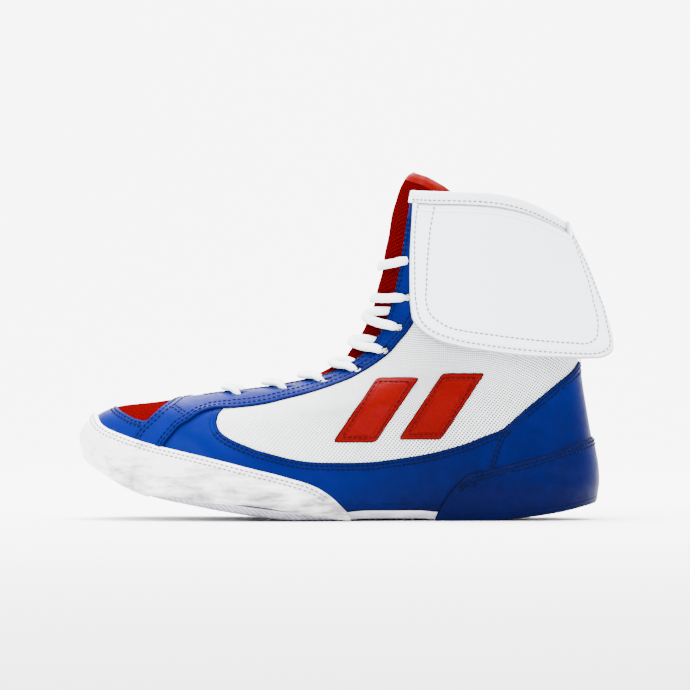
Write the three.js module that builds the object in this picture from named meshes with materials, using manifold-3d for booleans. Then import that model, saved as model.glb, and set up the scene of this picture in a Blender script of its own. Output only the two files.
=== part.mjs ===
import * as THREE from 'three';
import { mergeVertices } from 'three/addons/utils/BufferGeometryUtils.js';
import { LoftGeometry } from 'three/addons/geometries/LoftGeometry.js';
import Module from 'manifold-3d';

// A left boxing boot, in mm. X runs from the toe (-) to the heel (+), -Y is the outer side of the
// foot, +Y the inner side, and Z is up from the floor.

// Driving dimensions
const LENGTH = 290; // toe to heel, over the rand and the heel wrap
const BALL_WIDTH = 100; // across the ball, over the upper
const HEEL_WIDTH = 68.4; // across the heel, over the upper
const SHAFT_HEIGHT = 181.5; // floor to the front of the collar
const ANKLE_HEIGHT = 100; // below this the heights belong to the foot
const WALL = 2; // upper with its lining
const SOLE_THICKNESS = 5;
const INSOLE_THICKNESS = 3;
const RAND_THICKNESS = 1.8;
const WRAP_THICKNESS = 1.3;
const TONGUE_THICKNESS = 4;
const TONGUE_BULGE = 3; // the tongue's centre in front of the shaft's eyelet rows
const CUFF_THICKNESS = 2.2;
const CUFF_FLARE = 24; // the cuff's lower back corner behind the shaft
const BINDING_THICKNESS = 1;
const BINDING_DEPTH = 6;
const LACE_DIAMETER = 5;
const GAP = 0.3; // between pieces that meet

// The pattern is drawn on a sample boot and graded to the driving dimensions.
const SAMPLE_LENGTH = 290;
const SAMPLE_SHAFT = 181.5;
const gradeX = (x) => (x * LENGTH) / SAMPLE_LENGTH;
const shaftGrade = (SHAFT_HEIGHT - ANKLE_HEIGHT) / (SAMPLE_SHAFT - ANKLE_HEIGHT);
const gradeZ = (z) => (z < ANKLE_HEIGHT ? z : ANKLE_HEIGHT + (z - ANKLE_HEIGHT) * shaftGrade);

// A smooth curve through [position, value] stops, running on straight beyond them. A level curve
// also never overshoots its stops, so that its flats stay flat.
function curve(stops, level = false) {
  const end = stops.length - 1;
  const spans = stops.slice(1).map(([p], i) => p - stops[i][0]);
  const slopes = stops.slice(1).map(([, v], i) => (v - stops[i][1]) / spans[i]);
  const tangents = stops.map((_, i) => {
    if (i === 0) return slopes[0];
    if (i === end) return slopes[end - 1];
    const [before, after] = [slopes[i - 1], slopes[i]];
    if (!level) return (before * spans[i] + after * spans[i - 1]) / (spans[i] + spans[i - 1]);
    return before * after <= 0 ? 0 : (2 * before * after) / (before + after);
  });
  return (p) => {
    if (p <= stops[0][0]) return stops[0][1] + tangents[0] * (p - stops[0][0]);
    if (p >= stops[end][0]) return stops[end][1] + tangents[end] * (p - stops[end][0]);
    const i = stops.findIndex(([q]) => q > p) - 1;
    const s = (p - stops[i][0]) / spans[i];
    const rise = stops[i + 1][1] - stops[i][1];
    const bend = ((1 - s) * tangents[i] - s * tangents[i + 1]) * spans[i] + (2 * s - 1) * rise;
    return stops[i][1] + s * rise + s * (1 - s) * bend;
  };
}

// Height of the sole's underside: toe spring, forefoot flat, waist, heel flat and heel bevel.
const groundStops = [
  [-145, 37], [-140, 32.4], [-130, 26.2], [-120, 20.2], [-110, 15.6], [-100, 12.4], [-80, 8.3],
  [-60, 4.6], [-40, 1.7], [-22, 0], [4, 0], [14, 0.8], [44, 0.8], [54, 0], [82, 0], [100, 1.8],
  [120, 4.6], [145, 10.4],
];
const ground = curve(groundStops.map(([x, z]) => [gradeX(x), z]), true);

// The foot's middle line: it leaves the straight line of the boot towards the big toe.
const middleStops = [
  [-145, 8], [-110, 7], [-60, 2.5], [-20, -1.5], [34, -3.5], [90, -0.5], [145, 0],
];
const middle = curve(middleStops.map(([x, y]) => [gradeX(x), y]));

// The last as a stack of rings from the floor to above the collar. A ring leans from its front
// point to its back point. Sag is its share of the sole's curve, nose and tail are the lengths of
// its rounded ends, and lean is its share of the middle line's shift. Widths at toe and ball are
// shares of half the ball width, those at waist and heel are shares of half the heel width.
const RINGS = [
  { front: [-139.5, 32.2], back: [141.5, 9.6], sag: 1, nose: 70, tail: 42,
    width: [0.86, 0.91, 0.91, 0.88], lean: 1, arch: 0 }, // floor
  { front: [-141.2, 32.2], back: [142.2, 9.6], sag: 1, nose: 71, tail: 44,
    width: [0.88, 0.95, 0.96, 0.94], lean: 1, arch: 0 }, // feather line, raised by the sole
  { front: [-142.4, 43.0], back: [143.0, 20.5], sag: 0.93, nose: 72, tail: 45,
    width: [0.91, 1.0, 1.02, 1.0], lean: 1, arch: 0 },
  { front: [-140.8, 49.5], back: [142.6, 29.0], sag: 0.8, nose: 78, tail: 45,
    width: [0.91, 1.0, 1.04, 1.01], lean: 1, arch: 0 },
  { front: [-137.0, 55.8], back: [141.2, 38.0], sag: 0.62, nose: 85, tail: 45,
    width: [0.89, 0.98, 1.05, 0.995], lean: 1, arch: 0 },
  { front: [-131.0, 61.5], back: [139.7, 46.5], sag: 0.42, nose: 98, tail: 45,
    width: [0.88, 0.96, 1.05, 0.965], lean: 1, arch: 0 },
  { front: [-120.0, 65.6], back: [138.2, 55.0], sag: 0.22, nose: 119, tail: 46,
    width: [0.9, 0.94, 1.05, 0.935], lean: 1, arch: 0 }, // top of the toe
  { front: [-98.0, 67.2], back: [136.8, 63.5], sag: 0.08, nose: 150, tail: 48,
    width: [0.92, 0.92, 1.04, 0.91], lean: 0.95, arch: 0 },
  { front: [-72.0, 69.8], back: [135.4, 72.0], sag: 0, nose: 178, tail: 49,
    width: [0.92, 0.88, 1.02, 0.89], lean: 0.85, arch: 0 },
  { front: [-42.0, 73.4], back: [134.2, 81.0], sag: 0, nose: 162, tail: 50,
    width: [0.88, 0.82, 1.01, 0.88], lean: 0.7, arch: 0 },
  { front: [-14.0, 79.6], back: [133.3, 91.0], sag: 0, nose: 135, tail: 51,
    width: [0.82, 0.77, 0.995, 0.88], lean: 0.5, arch: 0 },
  { front: [4.5, 89.5], back: [132.7, 102.0], sag: 0, nose: 105, tail: 54,
    width: [0.75, 0.72, 0.985, 0.89], lean: 0.3, arch: 0 }, // instep
  { front: [16.0, 103.5], back: [132.2, 114.0], sag: 0, nose: 84, tail: 55,
    width: [0.7, 0.69, 0.98, 0.92], lean: 0.12, arch: 0 },
  { front: [22.5, 119.5], back: [131.6, 126.0], sag: 0, nose: 71, tail: 56,
    width: [0.69, 0.686, 1.0, 0.95], lean: 0, arch: 0 },
  { front: [27.0, 138.0], back: [130.5, 138.5], sag: 0, nose: 65, tail: 58,
    width: [0.7, 0.7, 1.03, 0.98], lean: 0, arch: 1.5 },
  { front: [30.5, 158.0], back: [128.7, 151.0], sag: 0, nose: 61, tail: 58,
    width: [0.72, 0.72, 1.06, 1.01], lean: 0, arch: 4.5 },
  { front: [35.0, 181.5], back: [126.0, 163.0], sag: 0, nose: 58, tail: 58,
    width: [0.75, 0.75, 1.1, 1.05], lean: 0, arch: 7.5 }, // collar
  { front: [39.5, 197.0], back: [124.0, 177.0], sag: 0, nose: 56, tail: 56,
    width: [0.76, 0.76, 1.11, 1.06], lean: 0, arch: 8 }, // above the collar, for the tongue
];
const FEATHER = 1;
const COLLAR = 16;
const column = (read) => curve(RINGS.map((ring, k) => [k, read(ring, k)]));
const footRise = (k) => (k === FEATHER ? SOLE_THICKNESS + GAP : 0);
const frontX = column((ring) => gradeX(ring.front[0]));
const frontZ = column((ring, k) => gradeZ(ring.front[1]) + footRise(k));
const backX = column((ring) => gradeX(ring.back[0]));
const backZ = column((ring, k) => gradeZ(ring.back[1]) + footRise(k));
const sagShare = column((ring) => ring.sag);
const noseLength = column((ring) => gradeX(ring.nose));
const tailLength = column((ring) => gradeX(ring.tail));
const leanShare = column((ring) => ring.lean);
const archRise = column((ring) => ring.arch);
const STATIONS = [0.12, 0.35, 0.62, 0.9]; // toe, ball, waist and heel along a ring
const halfSizes = [BALL_WIDTH / 2, BALL_WIDTH / 2, HEEL_WIDTH / 2, HEEL_WIDTH / 2];
const stationWidths = STATIONS.map((_, i) => column((ring) => ring.width[i] * halfSizes[i]));

// The sole's curve below the straight line from its front point to its back point.
function sag(x) {
  const share = (x - frontX(0)) / (backX(0) - frontX(0));
  return ground(x) - ground(frontX(0)) * (1 - share) - ground(backX(0)) * share;
}

const ROUNDNESS = 2.5; // of a ring's ends: 2 is an ellipse, and above it they run out softer
const roundEnd = (share) => (share >= 1 ? 1 : Math.sqrt(Math.max(0, 1 - (1 - share) ** ROUNDNESS)));

// A point of the last. Around a ring, u is 0 at the front, a half turn at the back, and the outer
// side of the foot lies between them. Up the last, k counts the rings.
function last(u, k) {
  const share = (1 - Math.cos(u)) / 2;
  const length = backX(k) - frontX(k);
  const x = frontX(k) + length * share;
  const ends = roundEnd((length * share) / noseLength(k)) *
    roundEnd((length * (1 - share)) / tailLength(k));
  const widths = curve([[0, stationWidths[0](k)],
    ...STATIONS.map((s, i) => [s, stationWidths[i](k)]), [1, stationWidths[3](k)]]);
  const y = middle(x) * leanShare(k) - Math.sign(Math.sin(u)) * widths(share) * ends;
  const z = frontZ(k) + (backZ(k) - frontZ(k)) * share + sagShare(k) * sag(x) +
    archRise(k) * Math.sin(Math.PI * share ** 1.5);
  return new THREE.Vector3(x, y, z);
}

// The same point lifted off the last along its normal, or sunk into it.
const STEP = 0.004;
const upAlong = (u, k) => last(u, k + STEP).sub(last(u, k - STEP)).normalize();
const around = (u, k) => last(u + STEP, k).sub(last(u - STEP, k)).normalize();
function skin(u, k, lift) {
  const normal = around(u, k).cross(upAlong(u, k)).normalize();
  return last(u, k).addScaledVector(normal, lift);
}

const RING_POINTS = 48;
const ringAngles = Array.from({ length: RING_POINTS }, (_, i) => (2 * Math.PI * i) / RING_POINTS);
const ring = (k, lift) => ringAngles.map((u) => skin(u, k, lift));
const steps = (from, to, count) =>
  Array.from({ length: count + 1 }, (_, i) => from + ((to - from) * i) / count);

// Every piece that lies on the last has its sections at the same levels, so that their flat
// triangles stay as far apart as the pieces.
const LEVELS = [-0.5, 0, 0.5, FEATHER, 1.6, 2.2, 3, 4, 4.8, 5.5, 6.3, 7.2, 8.1, 9, 10, 11, 12, 13.2,
  14.6, COLLAR, COLLAR + 0.6];
const levelsBetween = (low, high) => LEVELS.filter((k) => k >= low && k <= high);

// Solids
const wasm = await Module();
wasm.setup();

function toSolid(geometry) {
  const bare = new THREE.BufferGeometry();
  bare.setAttribute('position', geometry.attributes.position);
  if (geometry.index) bare.setIndex(geometry.index);
  const welded = mergeVertices(bare, 1e-5);
  const corners = welded.index.array;
  const triangles = [];
  for (let i = 0; i < corners.length; i += 3) {
    const [a, b, c] = corners.slice(i, i + 3);
    if (a !== b && b !== c && c !== a) triangles.push(a, b, c);
  }
  return new wasm.Manifold(new wasm.Mesh({
    numProp: 3,
    vertProperties: new Float32Array(welded.attributes.position.array),
    triVerts: new Uint32Array(triangles),
  }));
}

// A body through flat sections with as many points each.
const sweep = (sections) => toSolid(new LoftGeometry(sections, { capStart: true, capEnd: true }));

// A hollow body: its sections run up the outside, down the inside and back to the first.
const tube = (sections) => toSolid(new LoftGeometry([...sections, sections[0]]));

// A body through sections whose points lie in pairs across it. Each end closes on the line midway
// between its pairs, so a section may curve along its length.
function pile(sections) {
  const closing = (points) => points.map((_, i) => {
    const half = points.length / 2;
    const near = Math.min(Math.max(i <= half ? i : points.length - i, 1), half - 1);
    return points[near].clone().lerp(points[points.length - near], 0.5);
  });
  return toSolid(new LoftGeometry([closing(sections[0]), ...sections, closing(sections.at(-1))]));
}

const SPARE = 0.3; // of a level, by which a form that is taken away runs on past the other

// A band that stands off the last below one of its levels: a larger form less a smaller one, cut
// to a side outline. The smaller form runs on past the larger one, so that the band stays open.
function band(thickness, high, outline) {
  const levels = levelsBetween(LEVELS[0], high);
  const beyond = [LEVELS[0] - SPARE, ...levels, levels.at(-1) + SPARE];
  const outside = pile(levels.map((k) => ring(k, GAP + thickness)));
  const inside = pile(beyond.map((k) => ring(k, GAP)));
  return outside.subtract(inside).intersect(outline);
}

// A side view outline, pushed right across the boot or across one side of it.
const ACROSS = 200;
function across(shape, fromY = -ACROSS / 2, toY = ACROSS / 2) {
  const geometry = new THREE.ExtrudeGeometry(shape, {
    depth: toY - fromY, bevelEnabled: false, curveSegments: 6,
  });
  geometry.rotateX(Math.PI / 2);
  geometry.translate(0, toY, 0);
  return toSolid(geometry);
}

const at = (x, z) => new THREE.Vector2(gradeX(x), gradeZ(z));
const pointsAt = (points) => points.map(([x, z]) => at(x, z));
const floorLine = (xs, rise) => xs.map((x) => new THREE.Vector2(gradeX(x), ground(gradeX(x)) + rise));

// Outsole: a flat tread with rounded lower edges under the whole foot.
const soleEdge = [[0, 6], [0.14, 2.4], [0.4, 0.8], [0.75, 0.2], [1, 0.2]]; // share of rise, inset
function outsole() {
  return pile(soleEdge.map(([share, inset]) => {
    const rise = share * SOLE_THICKNESS;
    return ring(rise / (SOLE_THICKNESS + GAP), -inset).map(({ x, y }) =>
      new THREE.Vector3(x, y, ground(x) + rise));
  }));
}

// Insole: a flat sheet on the outsole, inside the upper's wall.
function insole() {
  const inset = WALL + GAP;
  const level = (rise) => ring(FEATHER, -inset).map(({ x, y }) =>
    new THREE.Vector3(x, y, ground(x) + rise));
  const bottom = SOLE_THICKNESS + GAP;
  return pile([level(bottom), level(bottom + INSOLE_THICKNESS)]);
}

// Throat: the slot for the tongue, from above the toe up the front of the shaft.
const THROAT_START = 7.45;
const throatHalf = curve([
  [THROAT_START, 0.5], [7.52, 4.5], [7.7, 7.5], [8, 9.5], [9, 11.5], [10, 13], [11, 14.5],
  [13, 16], [COLLAR, 17], [COLLAR + 1, 17],
], true);
const THROAT_LEVELS = [THROAT_START, 7.52, 7.7, 8, 8.5, 9, 9.5, 10, 10.5, 11, 11.5, 12, 12.5, 13, 14,
  15, COLLAR, COLLAR + 0.6];
const THROAT_DEPTH = 16; // through the wall, to either side of it
function throat() {
  const sections = THROAT_LEVELS.map((k) => {
    const front = last(0, k);
    const up = upAlong(0, k);
    const out = new THREE.Vector3(-up.z, 0, up.x);
    const half = throatHalf(k);
    return [[-1, -half], [-1, half], [1, half], [1, -half]].map(([side, y]) =>
      front.clone().addScaledVector(out, side * THROAT_DEPTH).add(new THREE.Vector3(0, y, 0)));
  });
  return sweep(sections);
}

// Upper: one hollow wall, open at the collar, at the throat and underneath.
function upper() {
  const levels = levelsBetween(FEATHER, COLLAR);
  const outside = levels.map((k) => ring(k, 0));
  const inside = levels.map((k) => ring(k, -WALL)).reverse();
  return tube([...outside, ...inside]).subtract(throat());
}

// The angle round a ring at which the throat's edge lies.
const throatAngle = (k) => throatHalf(k) /
  (stationWidths[0](k) * Math.sqrt((ROUNDNESS * (backX(k) - frontX(k))) / (4 * noseLength(k))));

// Tongue: a padded sheet under the upper's wall. Its edges lie flat against the wall, and its
// middle fills the throat and stands out between the rows of eyelets.
const TONGUE_START = 7.1;
const tongueHalf = curve([[TONGUE_START, 0.3], [8, 0.42], [10, 0.62], [12, 0.95], [COLLAR, 1.2],
  [COLLAR + 1, 1.2]], true);
const tongueTip = curve([[0, COLLAR + 0.78], [0.4, COLLAR + 0.68], [0.75, COLLAR + 0.35],
  [1, COLLAR - 0.1]], true);
const tongueRise = curve([[THROAT_START, -WALL - GAP], [8, -0.8], [9, -0.3], [10.5, 0.5],
  [12, TONGUE_BULGE], [COLLAR + 1, TONGUE_BULGE]], true);
const tongueSink = curve([[0, 0], [13.8, 0], [15.1, BINDING_THICKNESS + 2 * GAP],
  [COLLAR + 1, BINDING_THICKNESS + 2 * GAP]], true); // behind the collar's binding
const tongueFill = curve([[0, 0], [0.03, 0.8], [0.08, 1], [0.93, 1], [0.98, 0.75], [1, 0]], true);
const tongueRows = [0, 0.015, 0.04, ...steps(0.08, 0.92, 16), 0.96, 0.985, 1];
const TONGUE_HALF_POINTS = 12;
const TONGUE_FREE = 0.92; // of the throat's width, in which the tongue rises from under the wall
function tongueSection(along) {
  return Array.from({ length: 2 * TONGUE_HALF_POINTS }, (_, i) => {
    const outer = i < TONGUE_HALF_POINTS;
    const share = outer ? 1 - (2 * i) / TONGUE_HALF_POINTS : (2 * i) / TONGUE_HALF_POINTS - 3;
    const k = TONGUE_START + along * (tongueTip(Math.abs(share)) - TONGUE_START);
    const u = -share * tongueHalf(k);
    const towardsMiddle = Math.max(0, 1 - (u / (TONGUE_FREE * throatAngle(k))) ** 2) ** 2;
    const padding = Math.sqrt(1 - share ** 6) * tongueFill(along) * (outer ? 0.5 : -0.5);
    const sunk = WALL + 2 * GAP + tongueSink(k);
    const lift = padding * TONGUE_THICKNESS - sunk - TONGUE_THICKNESS / 2 +
      towardsMiddle * (sunk + tongueRise(Math.max(k, THROAT_START)));
    return skin(u, k, lift);
  });
}
const tongue = () => toSolid(new LoftGeometry(tongueRows.map(tongueSection)));

// Side outlines, drawn on the sample boot
const smooth = (points) =>
  new THREE.SplineCurve(pointsAt(points)).getPoints(Math.round(1.5 * points.length));

// Toe rand: a rubber band round the forefoot. Its top edge falls back from over the toe to the
// floor at the waist, and its lower edge clears the tread that shows under the ball of the foot.
function toeRand() {
  const top = smooth([[-133.2, 57], [-132, 53], [-128, 50], [-122, 47.5], [-115, 45], [-105, 42],
    [-90, 38.5], [-70, 34], [-50, 29], [-30, 24], [-11, 17.5], [-5, 13.5], [0, 9], [3, 6], [6.5, 1]]);
  const tread = smooth([[0, 1.7], [-10, 3.2], [-20, 4.7], [-30, 6.7], [-40, 8.2], [-50, 9.7],
    [-60, 10.2], [-75, 11], [-85, 12.7], [-95, 14]]);
  const toeUnderside = floorLine([-105, -112, -120, -128, -134, -139.5], GAP);
  const outline = new THREE.Shape([at(-160, 61), at(-134.5, 60), ...top, ...tread, ...toeUnderside,
    at(-160, 31)]);
  return band(RAND_THICKNESS, 5.5, across(outline));
}

// Heel wrap: leather round the heel, from the waist to the back, standing almost on the floor.
function heelWrap() {
  const top = smooth([[53, 1], [56, 8], [60, 14], [66, 21], [70, 24.5], [80, 27.2], [100, 32.2],
    [120, 38], [130, 41.5], [142, 46.5]]);
  const underside = floorLine([143, 136, 128, 120, 110, 100, 90, 82, 68, 54], GAP);
  const outline = new THREE.Shape([...top, at(160, 53), new THREE.Vector2(gradeX(160), 10),
    ...underside]);
  return band(WRAP_THICKNESS, 6.3, across(outline));
}

// The cuff's inner face: it starts on the shaft, under the collar's binding, and flares away from
// it downwards and backwards.
const CUFF_TOP = 163; // height of its back edge's upper end
const CUFF_BOTTOM = 97; // height of its lower back corner
const CUFF_LEAVES = 0.35; // share of the shaft's length behind which it leaves the shaft backwards
const CUFF_SPREAD = 2.5; // its lower edge away from the shaft sideways
const CUFF_STAND = 1; // its upper end behind the shaft
function cuffPoint(u, k, lift) {
  const share = (1 - Math.cos(u)) / 2;
  const hang = Math.max(0, gradeZ(CUFF_TOP) - backZ(k)) / (gradeZ(CUFF_TOP) - gradeZ(CUFF_BOTTOM));
  const back = THREE.MathUtils.smoothstep(share, CUFF_LEAVES, 1);
  const side = Math.sin(u) ** 2;
  const point = skin(u, k, GAP + lift);
  point.x += back * (CUFF_STAND + CUFF_FLARE * hang);
  point.y -= Math.sign(Math.sin(u)) * side * CUFF_SPREAD * hang;
  return point;
}

// Cuff: the two halves of the shaft's turned-down top. Each is a leather sheet with round corners
// that hangs from the collar, free at the front and at the back.
const CUFF_SPLIT = 4; // half the slit between the cuff's halves at the back
const BINDING_SPAN = [0.75, 2.9]; // angles between which its top edge follows the collar's binding
const CUFF_FRONT = [[41.6, 172], [41, 165], [40.1, 150], [39.8, 130], [40.1, 118], [41.6, 110],
  [46, 104.5], [54, 99.6], [65, 96.3], [80, 93.8], [100, 91.2], [120, 90.1], [138, 89.7],
  [146, 90.5], [150.2, 93.5], [150.7, 98], [148, 110], [141, 130], [134.5, 146], [129.5, 156]];
function cuff(side) {
  const levels = levelsBetween(8.1, COLLAR + 1);
  const layer = (spare, lift) => pile([levels[0] - spare, ...levels, levels.at(-1) + spare].map((k) =>
    ringAngles.map((u) => cuffPoint(u, k, lift))));
  const sheet = layer(SPARE / 3, CUFF_THICKNESS).subtract(layer(SPARE, 0));
  const underBinding = ringAngles.filter((u) => u > BINDING_SPAN[0] && u < BINDING_SPAN[1]).map((u) => {
    const edge = last(u, COLLAR).addScaledVector(upAlong(u, COLLAR), -BINDING_DEPTH - 2 * GAP);
    return new THREE.Vector2(edge.x, edge.z);
  });
  const outline = across(new THREE.Shape([...smooth(CUFF_FRONT), ...underBinding.reverse()]),
    side < 0 ? -ACROSS / 2 : CUFF_SPLIT, side < 0 ? -CUFF_SPLIT : ACROSS / 2);
  return sheet.intersect(outline);
}

// Collar binding: a tape folded over the collar's edge, from one side of the throat to the other.
function collarBinding() {
  const [near, far] = [GAP, GAP + BINDING_THICKNESS];
  const chamfer = 0.4;
  const profile = [[near, -BINDING_DEPTH], [far, -BINDING_DEPTH], [far, near], [far - chamfer, far],
    [-WALL - far + chamfer, far], [-WALL - far, near], [-WALL - far, -BINDING_DEPTH],
    [-WALL - near, -BINDING_DEPTH], [-WALL - near, near], [near, near]];
  const clearance = 0.03; // an angle, from the throat's edge
  const start = throatAngle(COLLAR) + clearance;
  const end = 2 * Math.PI - start;
  const angles = [start, ...ringAngles.filter((u) => u > start && u < end), end];
  const sections = angles.map((u) => profile.map(([lift, height]) => {
    if (height > 0) return skin(u, COLLAR, lift).addScaledVector(upAlong(u, COLLAR), height);
    return skin(u, COLLAR + height / last(u, COLLAR).distanceTo(last(u, COLLAR - 1)), lift);
  }));
  return sweep(sections.map((section) => section.reverse()));
}

// Laces. Each eyelet has its place along the rows, and the rows keep their distance to the throat.
const EYELETS = [8.02, 8.8, 9.5, 10.25, 11.2, 12.1, 13.15, 14.3];
const EYELET_MARGIN = 9; // from the throat's edge to an eyelet's centre
const eyeletAngle = (k) => (throatAngle(k) * (throatHalf(k) + EYELET_MARGIN)) / throatHalf(k);
const LACE_SIDES = 6;
const LACE_STEPS = 8; // along one lace
const LACE_CLEARANCE = 1; // over the leather and the tongue
function lace(points) {
  const radius = LACE_DIAMETER / 2;
  const shape = new THREE.Shape(Array.from({ length: LACE_SIDES }, (_, i) => {
    const turn = (2 * Math.PI * (i + 0.5)) / LACE_SIDES;
    return new THREE.Vector2(radius * Math.cos(turn), radius * Math.sin(turn));
  }));
  return toSolid(new THREE.ExtrudeGeometry(shape, {
    steps: LACE_STEPS, bevelEnabled: false, extrudePath: new THREE.CatmullRomCurve3(points),
  }));
}

// One lace over the tongue, from ring to ring and from side to side of the throat.
function strand(fromRing, fromAngle, toRing, toAngle) {
  return lace(steps(0, 1, LACE_STEPS).map((s) => {
    const k = fromRing + (toRing - fromRing) * s;
    const u = fromAngle + (toAngle - fromAngle) * s;
    const over = Math.max(0, 1 - (u / throatAngle(k)) ** 2);
    return skin(u, k, LACE_DIAMETER / 2 + LACE_CLEARANCE + over * Math.max(0, tongueRise(k)));
  }));
}

// A crossing: out of one eyelet, over the tongue, and up to the throat's far edge by the next one.
const DIVE = 6.5; // below the next eyelet, where the lace goes under the far edge
const PAST_EDGE = 1.08; // its end, as a share of the throat's angle
function laceCrossing(i) {
  const [from, next] = [EYELETS[i], EYELETS[i + 1]];
  const to = next - DIVE / last(0, next + 0.5).distanceTo(last(0, next - 0.5));
  const [start, end] = [eyeletAngle(from), PAST_EDGE * throatAngle(to)];
  return strand(from, start, to, -end).add(strand(from, -start, to, end));
}

// A bar: straight across the tongue, as far round the shaft as its angle says.
const laceBar = (i, angle) => strand(EYELETS[i], angle, EYELETS[i], -angle);
const BY_THE_CUFF = 1.15; // a share of the throat's angle, where the top bar meets the cuff's edge

const white = 0xe9eef6;
const blue = 0x1238b0;
const red = 0xb80c1c;
const grey = 0xa9a9bb;

const boot = new THREE.Group();
function add(name, solid, color, roughness) {
  const { vertProperties, triVerts } = solid.getMesh();
  const geometry = new THREE.BufferGeometry();
  geometry.setAttribute('position', new THREE.BufferAttribute(vertProperties, 3));
  geometry.setIndex(new THREE.BufferAttribute(triVerts, 1));
  geometry.computeVertexNormals();
  const material = new THREE.MeshStandardMaterial({ color, roughness, metalness: 0 });
  const mesh = new THREE.Mesh(geometry, material);
  mesh.name = name;
  boot.add(mesh);
}
add('outsole', outsole(), grey, 0.8);
add('insole', insole(), blue, 0.9);
add('upper', upper(), blue, 0.5);
add('tongue', tongue(), red, 0.9);
add('toe_rand', toeRand(), white, 0.6);
add('heel_wrap', heelWrap(), blue, 0.5);
add('collar_binding', collarBinding(), white, 0.8);
add('cuff_outer_side', cuff(-1), white, 0.5);
add('cuff_inner_side', cuff(1), white, 0.5);
for (let i = 0; i < 6; i += 1) add(`lace_cross_${i + 1}`, laceCrossing(i), white, 0.9);
add('lace_bar_7', laceBar(6, eyeletAngle(EYELETS[6])), white, 0.9);
add('lace_bar_8', laceBar(7, BY_THE_CUFF * throatAngle(EYELETS[7])), white, 0.9);

const box = new THREE.Box3().setFromObject(boot);
boot.position.set(-(box.min.x + box.max.x) / 2, -(box.min.y + box.max.y) / 2, -box.min.z);

export default boot;
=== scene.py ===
"""A left boxing boot in blue and white leather and white and red mesh, with a red tongue.

Shapes are worked out in mm in the pattern's own axes: x runs from the toe (-) to the heel (+), -y is
the outer side of the foot and z is up from the floor. SHIFT takes them into the frame.
"""

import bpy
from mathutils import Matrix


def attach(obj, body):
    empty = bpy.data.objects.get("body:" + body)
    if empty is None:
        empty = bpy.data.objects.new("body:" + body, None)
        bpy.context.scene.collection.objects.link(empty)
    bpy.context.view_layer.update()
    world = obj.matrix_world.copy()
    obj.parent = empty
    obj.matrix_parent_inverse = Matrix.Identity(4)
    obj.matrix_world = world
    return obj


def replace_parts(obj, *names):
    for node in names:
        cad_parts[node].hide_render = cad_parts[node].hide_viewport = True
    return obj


bl_info = {
    "name": "Boxing boot",
    "version": (1, 0, 0),
    "blender": (4, 5, 0),
    "location": "View3D > Sidebar > Boot",
    "description": "Builds the visible pieces of a boxing boot on its packed solids",
    "category": "Add Mesh",
}

from functools import cache

import bpy
import numpy as np
from bpy.props import FloatProperty, FloatVectorProperty

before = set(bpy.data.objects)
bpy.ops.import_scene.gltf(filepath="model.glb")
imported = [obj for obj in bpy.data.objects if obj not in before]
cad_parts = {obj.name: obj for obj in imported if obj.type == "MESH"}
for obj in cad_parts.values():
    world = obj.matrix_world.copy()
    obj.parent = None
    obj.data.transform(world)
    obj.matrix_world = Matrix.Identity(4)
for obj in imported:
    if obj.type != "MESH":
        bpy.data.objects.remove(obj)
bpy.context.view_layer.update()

MM = 0.001
SHIFT = np.array([-3.267, -1.445, 0.0])
TURN = 2 * np.pi

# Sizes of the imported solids, in mm
WALL = 2.0
SOLE = 5.0
GAP = 0.3
RAND = 1.8
WRAP = 1.3
TONGUE = 4.0
TONGUE_BULGE = 3.0
CUFF = 2.2
CUFF_FLARE = 24.0  # its lower rear corner behind the shaft
CUFF_SPREAD = 2.5  # its lower edge away from the shaft sideways
CUFF_TOP, CUFF_BOTTOM = 163.0, 97.0  # heights of its rear edge's ends
CUFF_LEAVES = 0.35  # share of the shaft's length behind which it leaves the shaft backwards
BINDING = 1.0
BINDING_DEPTH = 6.0
FEATHER = 1
COLLAR = 16
ROUNDNESS = 2.5
HALF_BALL, HALF_HEEL = 50.0, 34.2


def curve(stops, level=False):
    """A cubic through (place, value) stops, running on straight beyond them. Its slope at a stop is
    the mean of its neighbours' slopes weighted by their spans. A level curve takes their harmonic
    mean instead, and none where they differ in sign, so that it never overshoots."""
    places, values = np.asarray(stops, float).T
    spans = np.diff(places)
    slopes = np.diff(values) / spans
    before, after = slopes[:-1], slopes[1:]
    if level:
        total = np.where(before + after == 0, 1, before + after)
        inner = np.where(before * after > 0, 2 * before * after / total, 0)
    else:
        inner = (before * spans[1:] + after * spans[:-1]) / (spans[1:] + spans[:-1])
    tangents = np.concatenate([slopes[:1], inner, slopes[-1:]])

    def value(place):
        place = np.asarray(place, float)
        i = np.clip(np.searchsorted(places, place, side="right") - 1, 0, len(spans) - 1)
        s = (place - places[i]) / spans[i]
        rise = values[i + 1] - values[i]
        bend = ((1 - s) * tangents[i] - s * tangents[i + 1]) * spans[i] + (2 * s - 1) * rise
        below = values[0] + tangents[0] * (place - places[0])
        above = values[-1] + tangents[-1] * (place - places[-1])
        inside = values[i] + s * rise + s * (1 - s) * bend
        return np.where(place < places[0], below, np.where(place > places[-1], above, inside))

    return value


# The last: height of the sole's underside, the foot's middle line, and a stack of rings from the
# floor to above the collar. Widths are shares of half the ball's or half the heel's width.
GROUND = curve([
    (-145, 37), (-140, 32.4), (-130, 26.2), (-120, 20.2), (-110, 15.6), (-100, 12.4), (-80, 8.3),
    (-60, 4.6), (-40, 1.7), (-22, 0), (4, 0), (14, 0.8), (44, 0.8), (54, 0), (82, 0), (100, 1.8),
    (120, 4.6), (145, 10.4),
], level=True)
MIDDLE = curve([(-145, 8), (-110, 7), (-60, 2.5), (-20, -1.5), (34, -3.5), (90, -0.5), (145, 0)])
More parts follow.
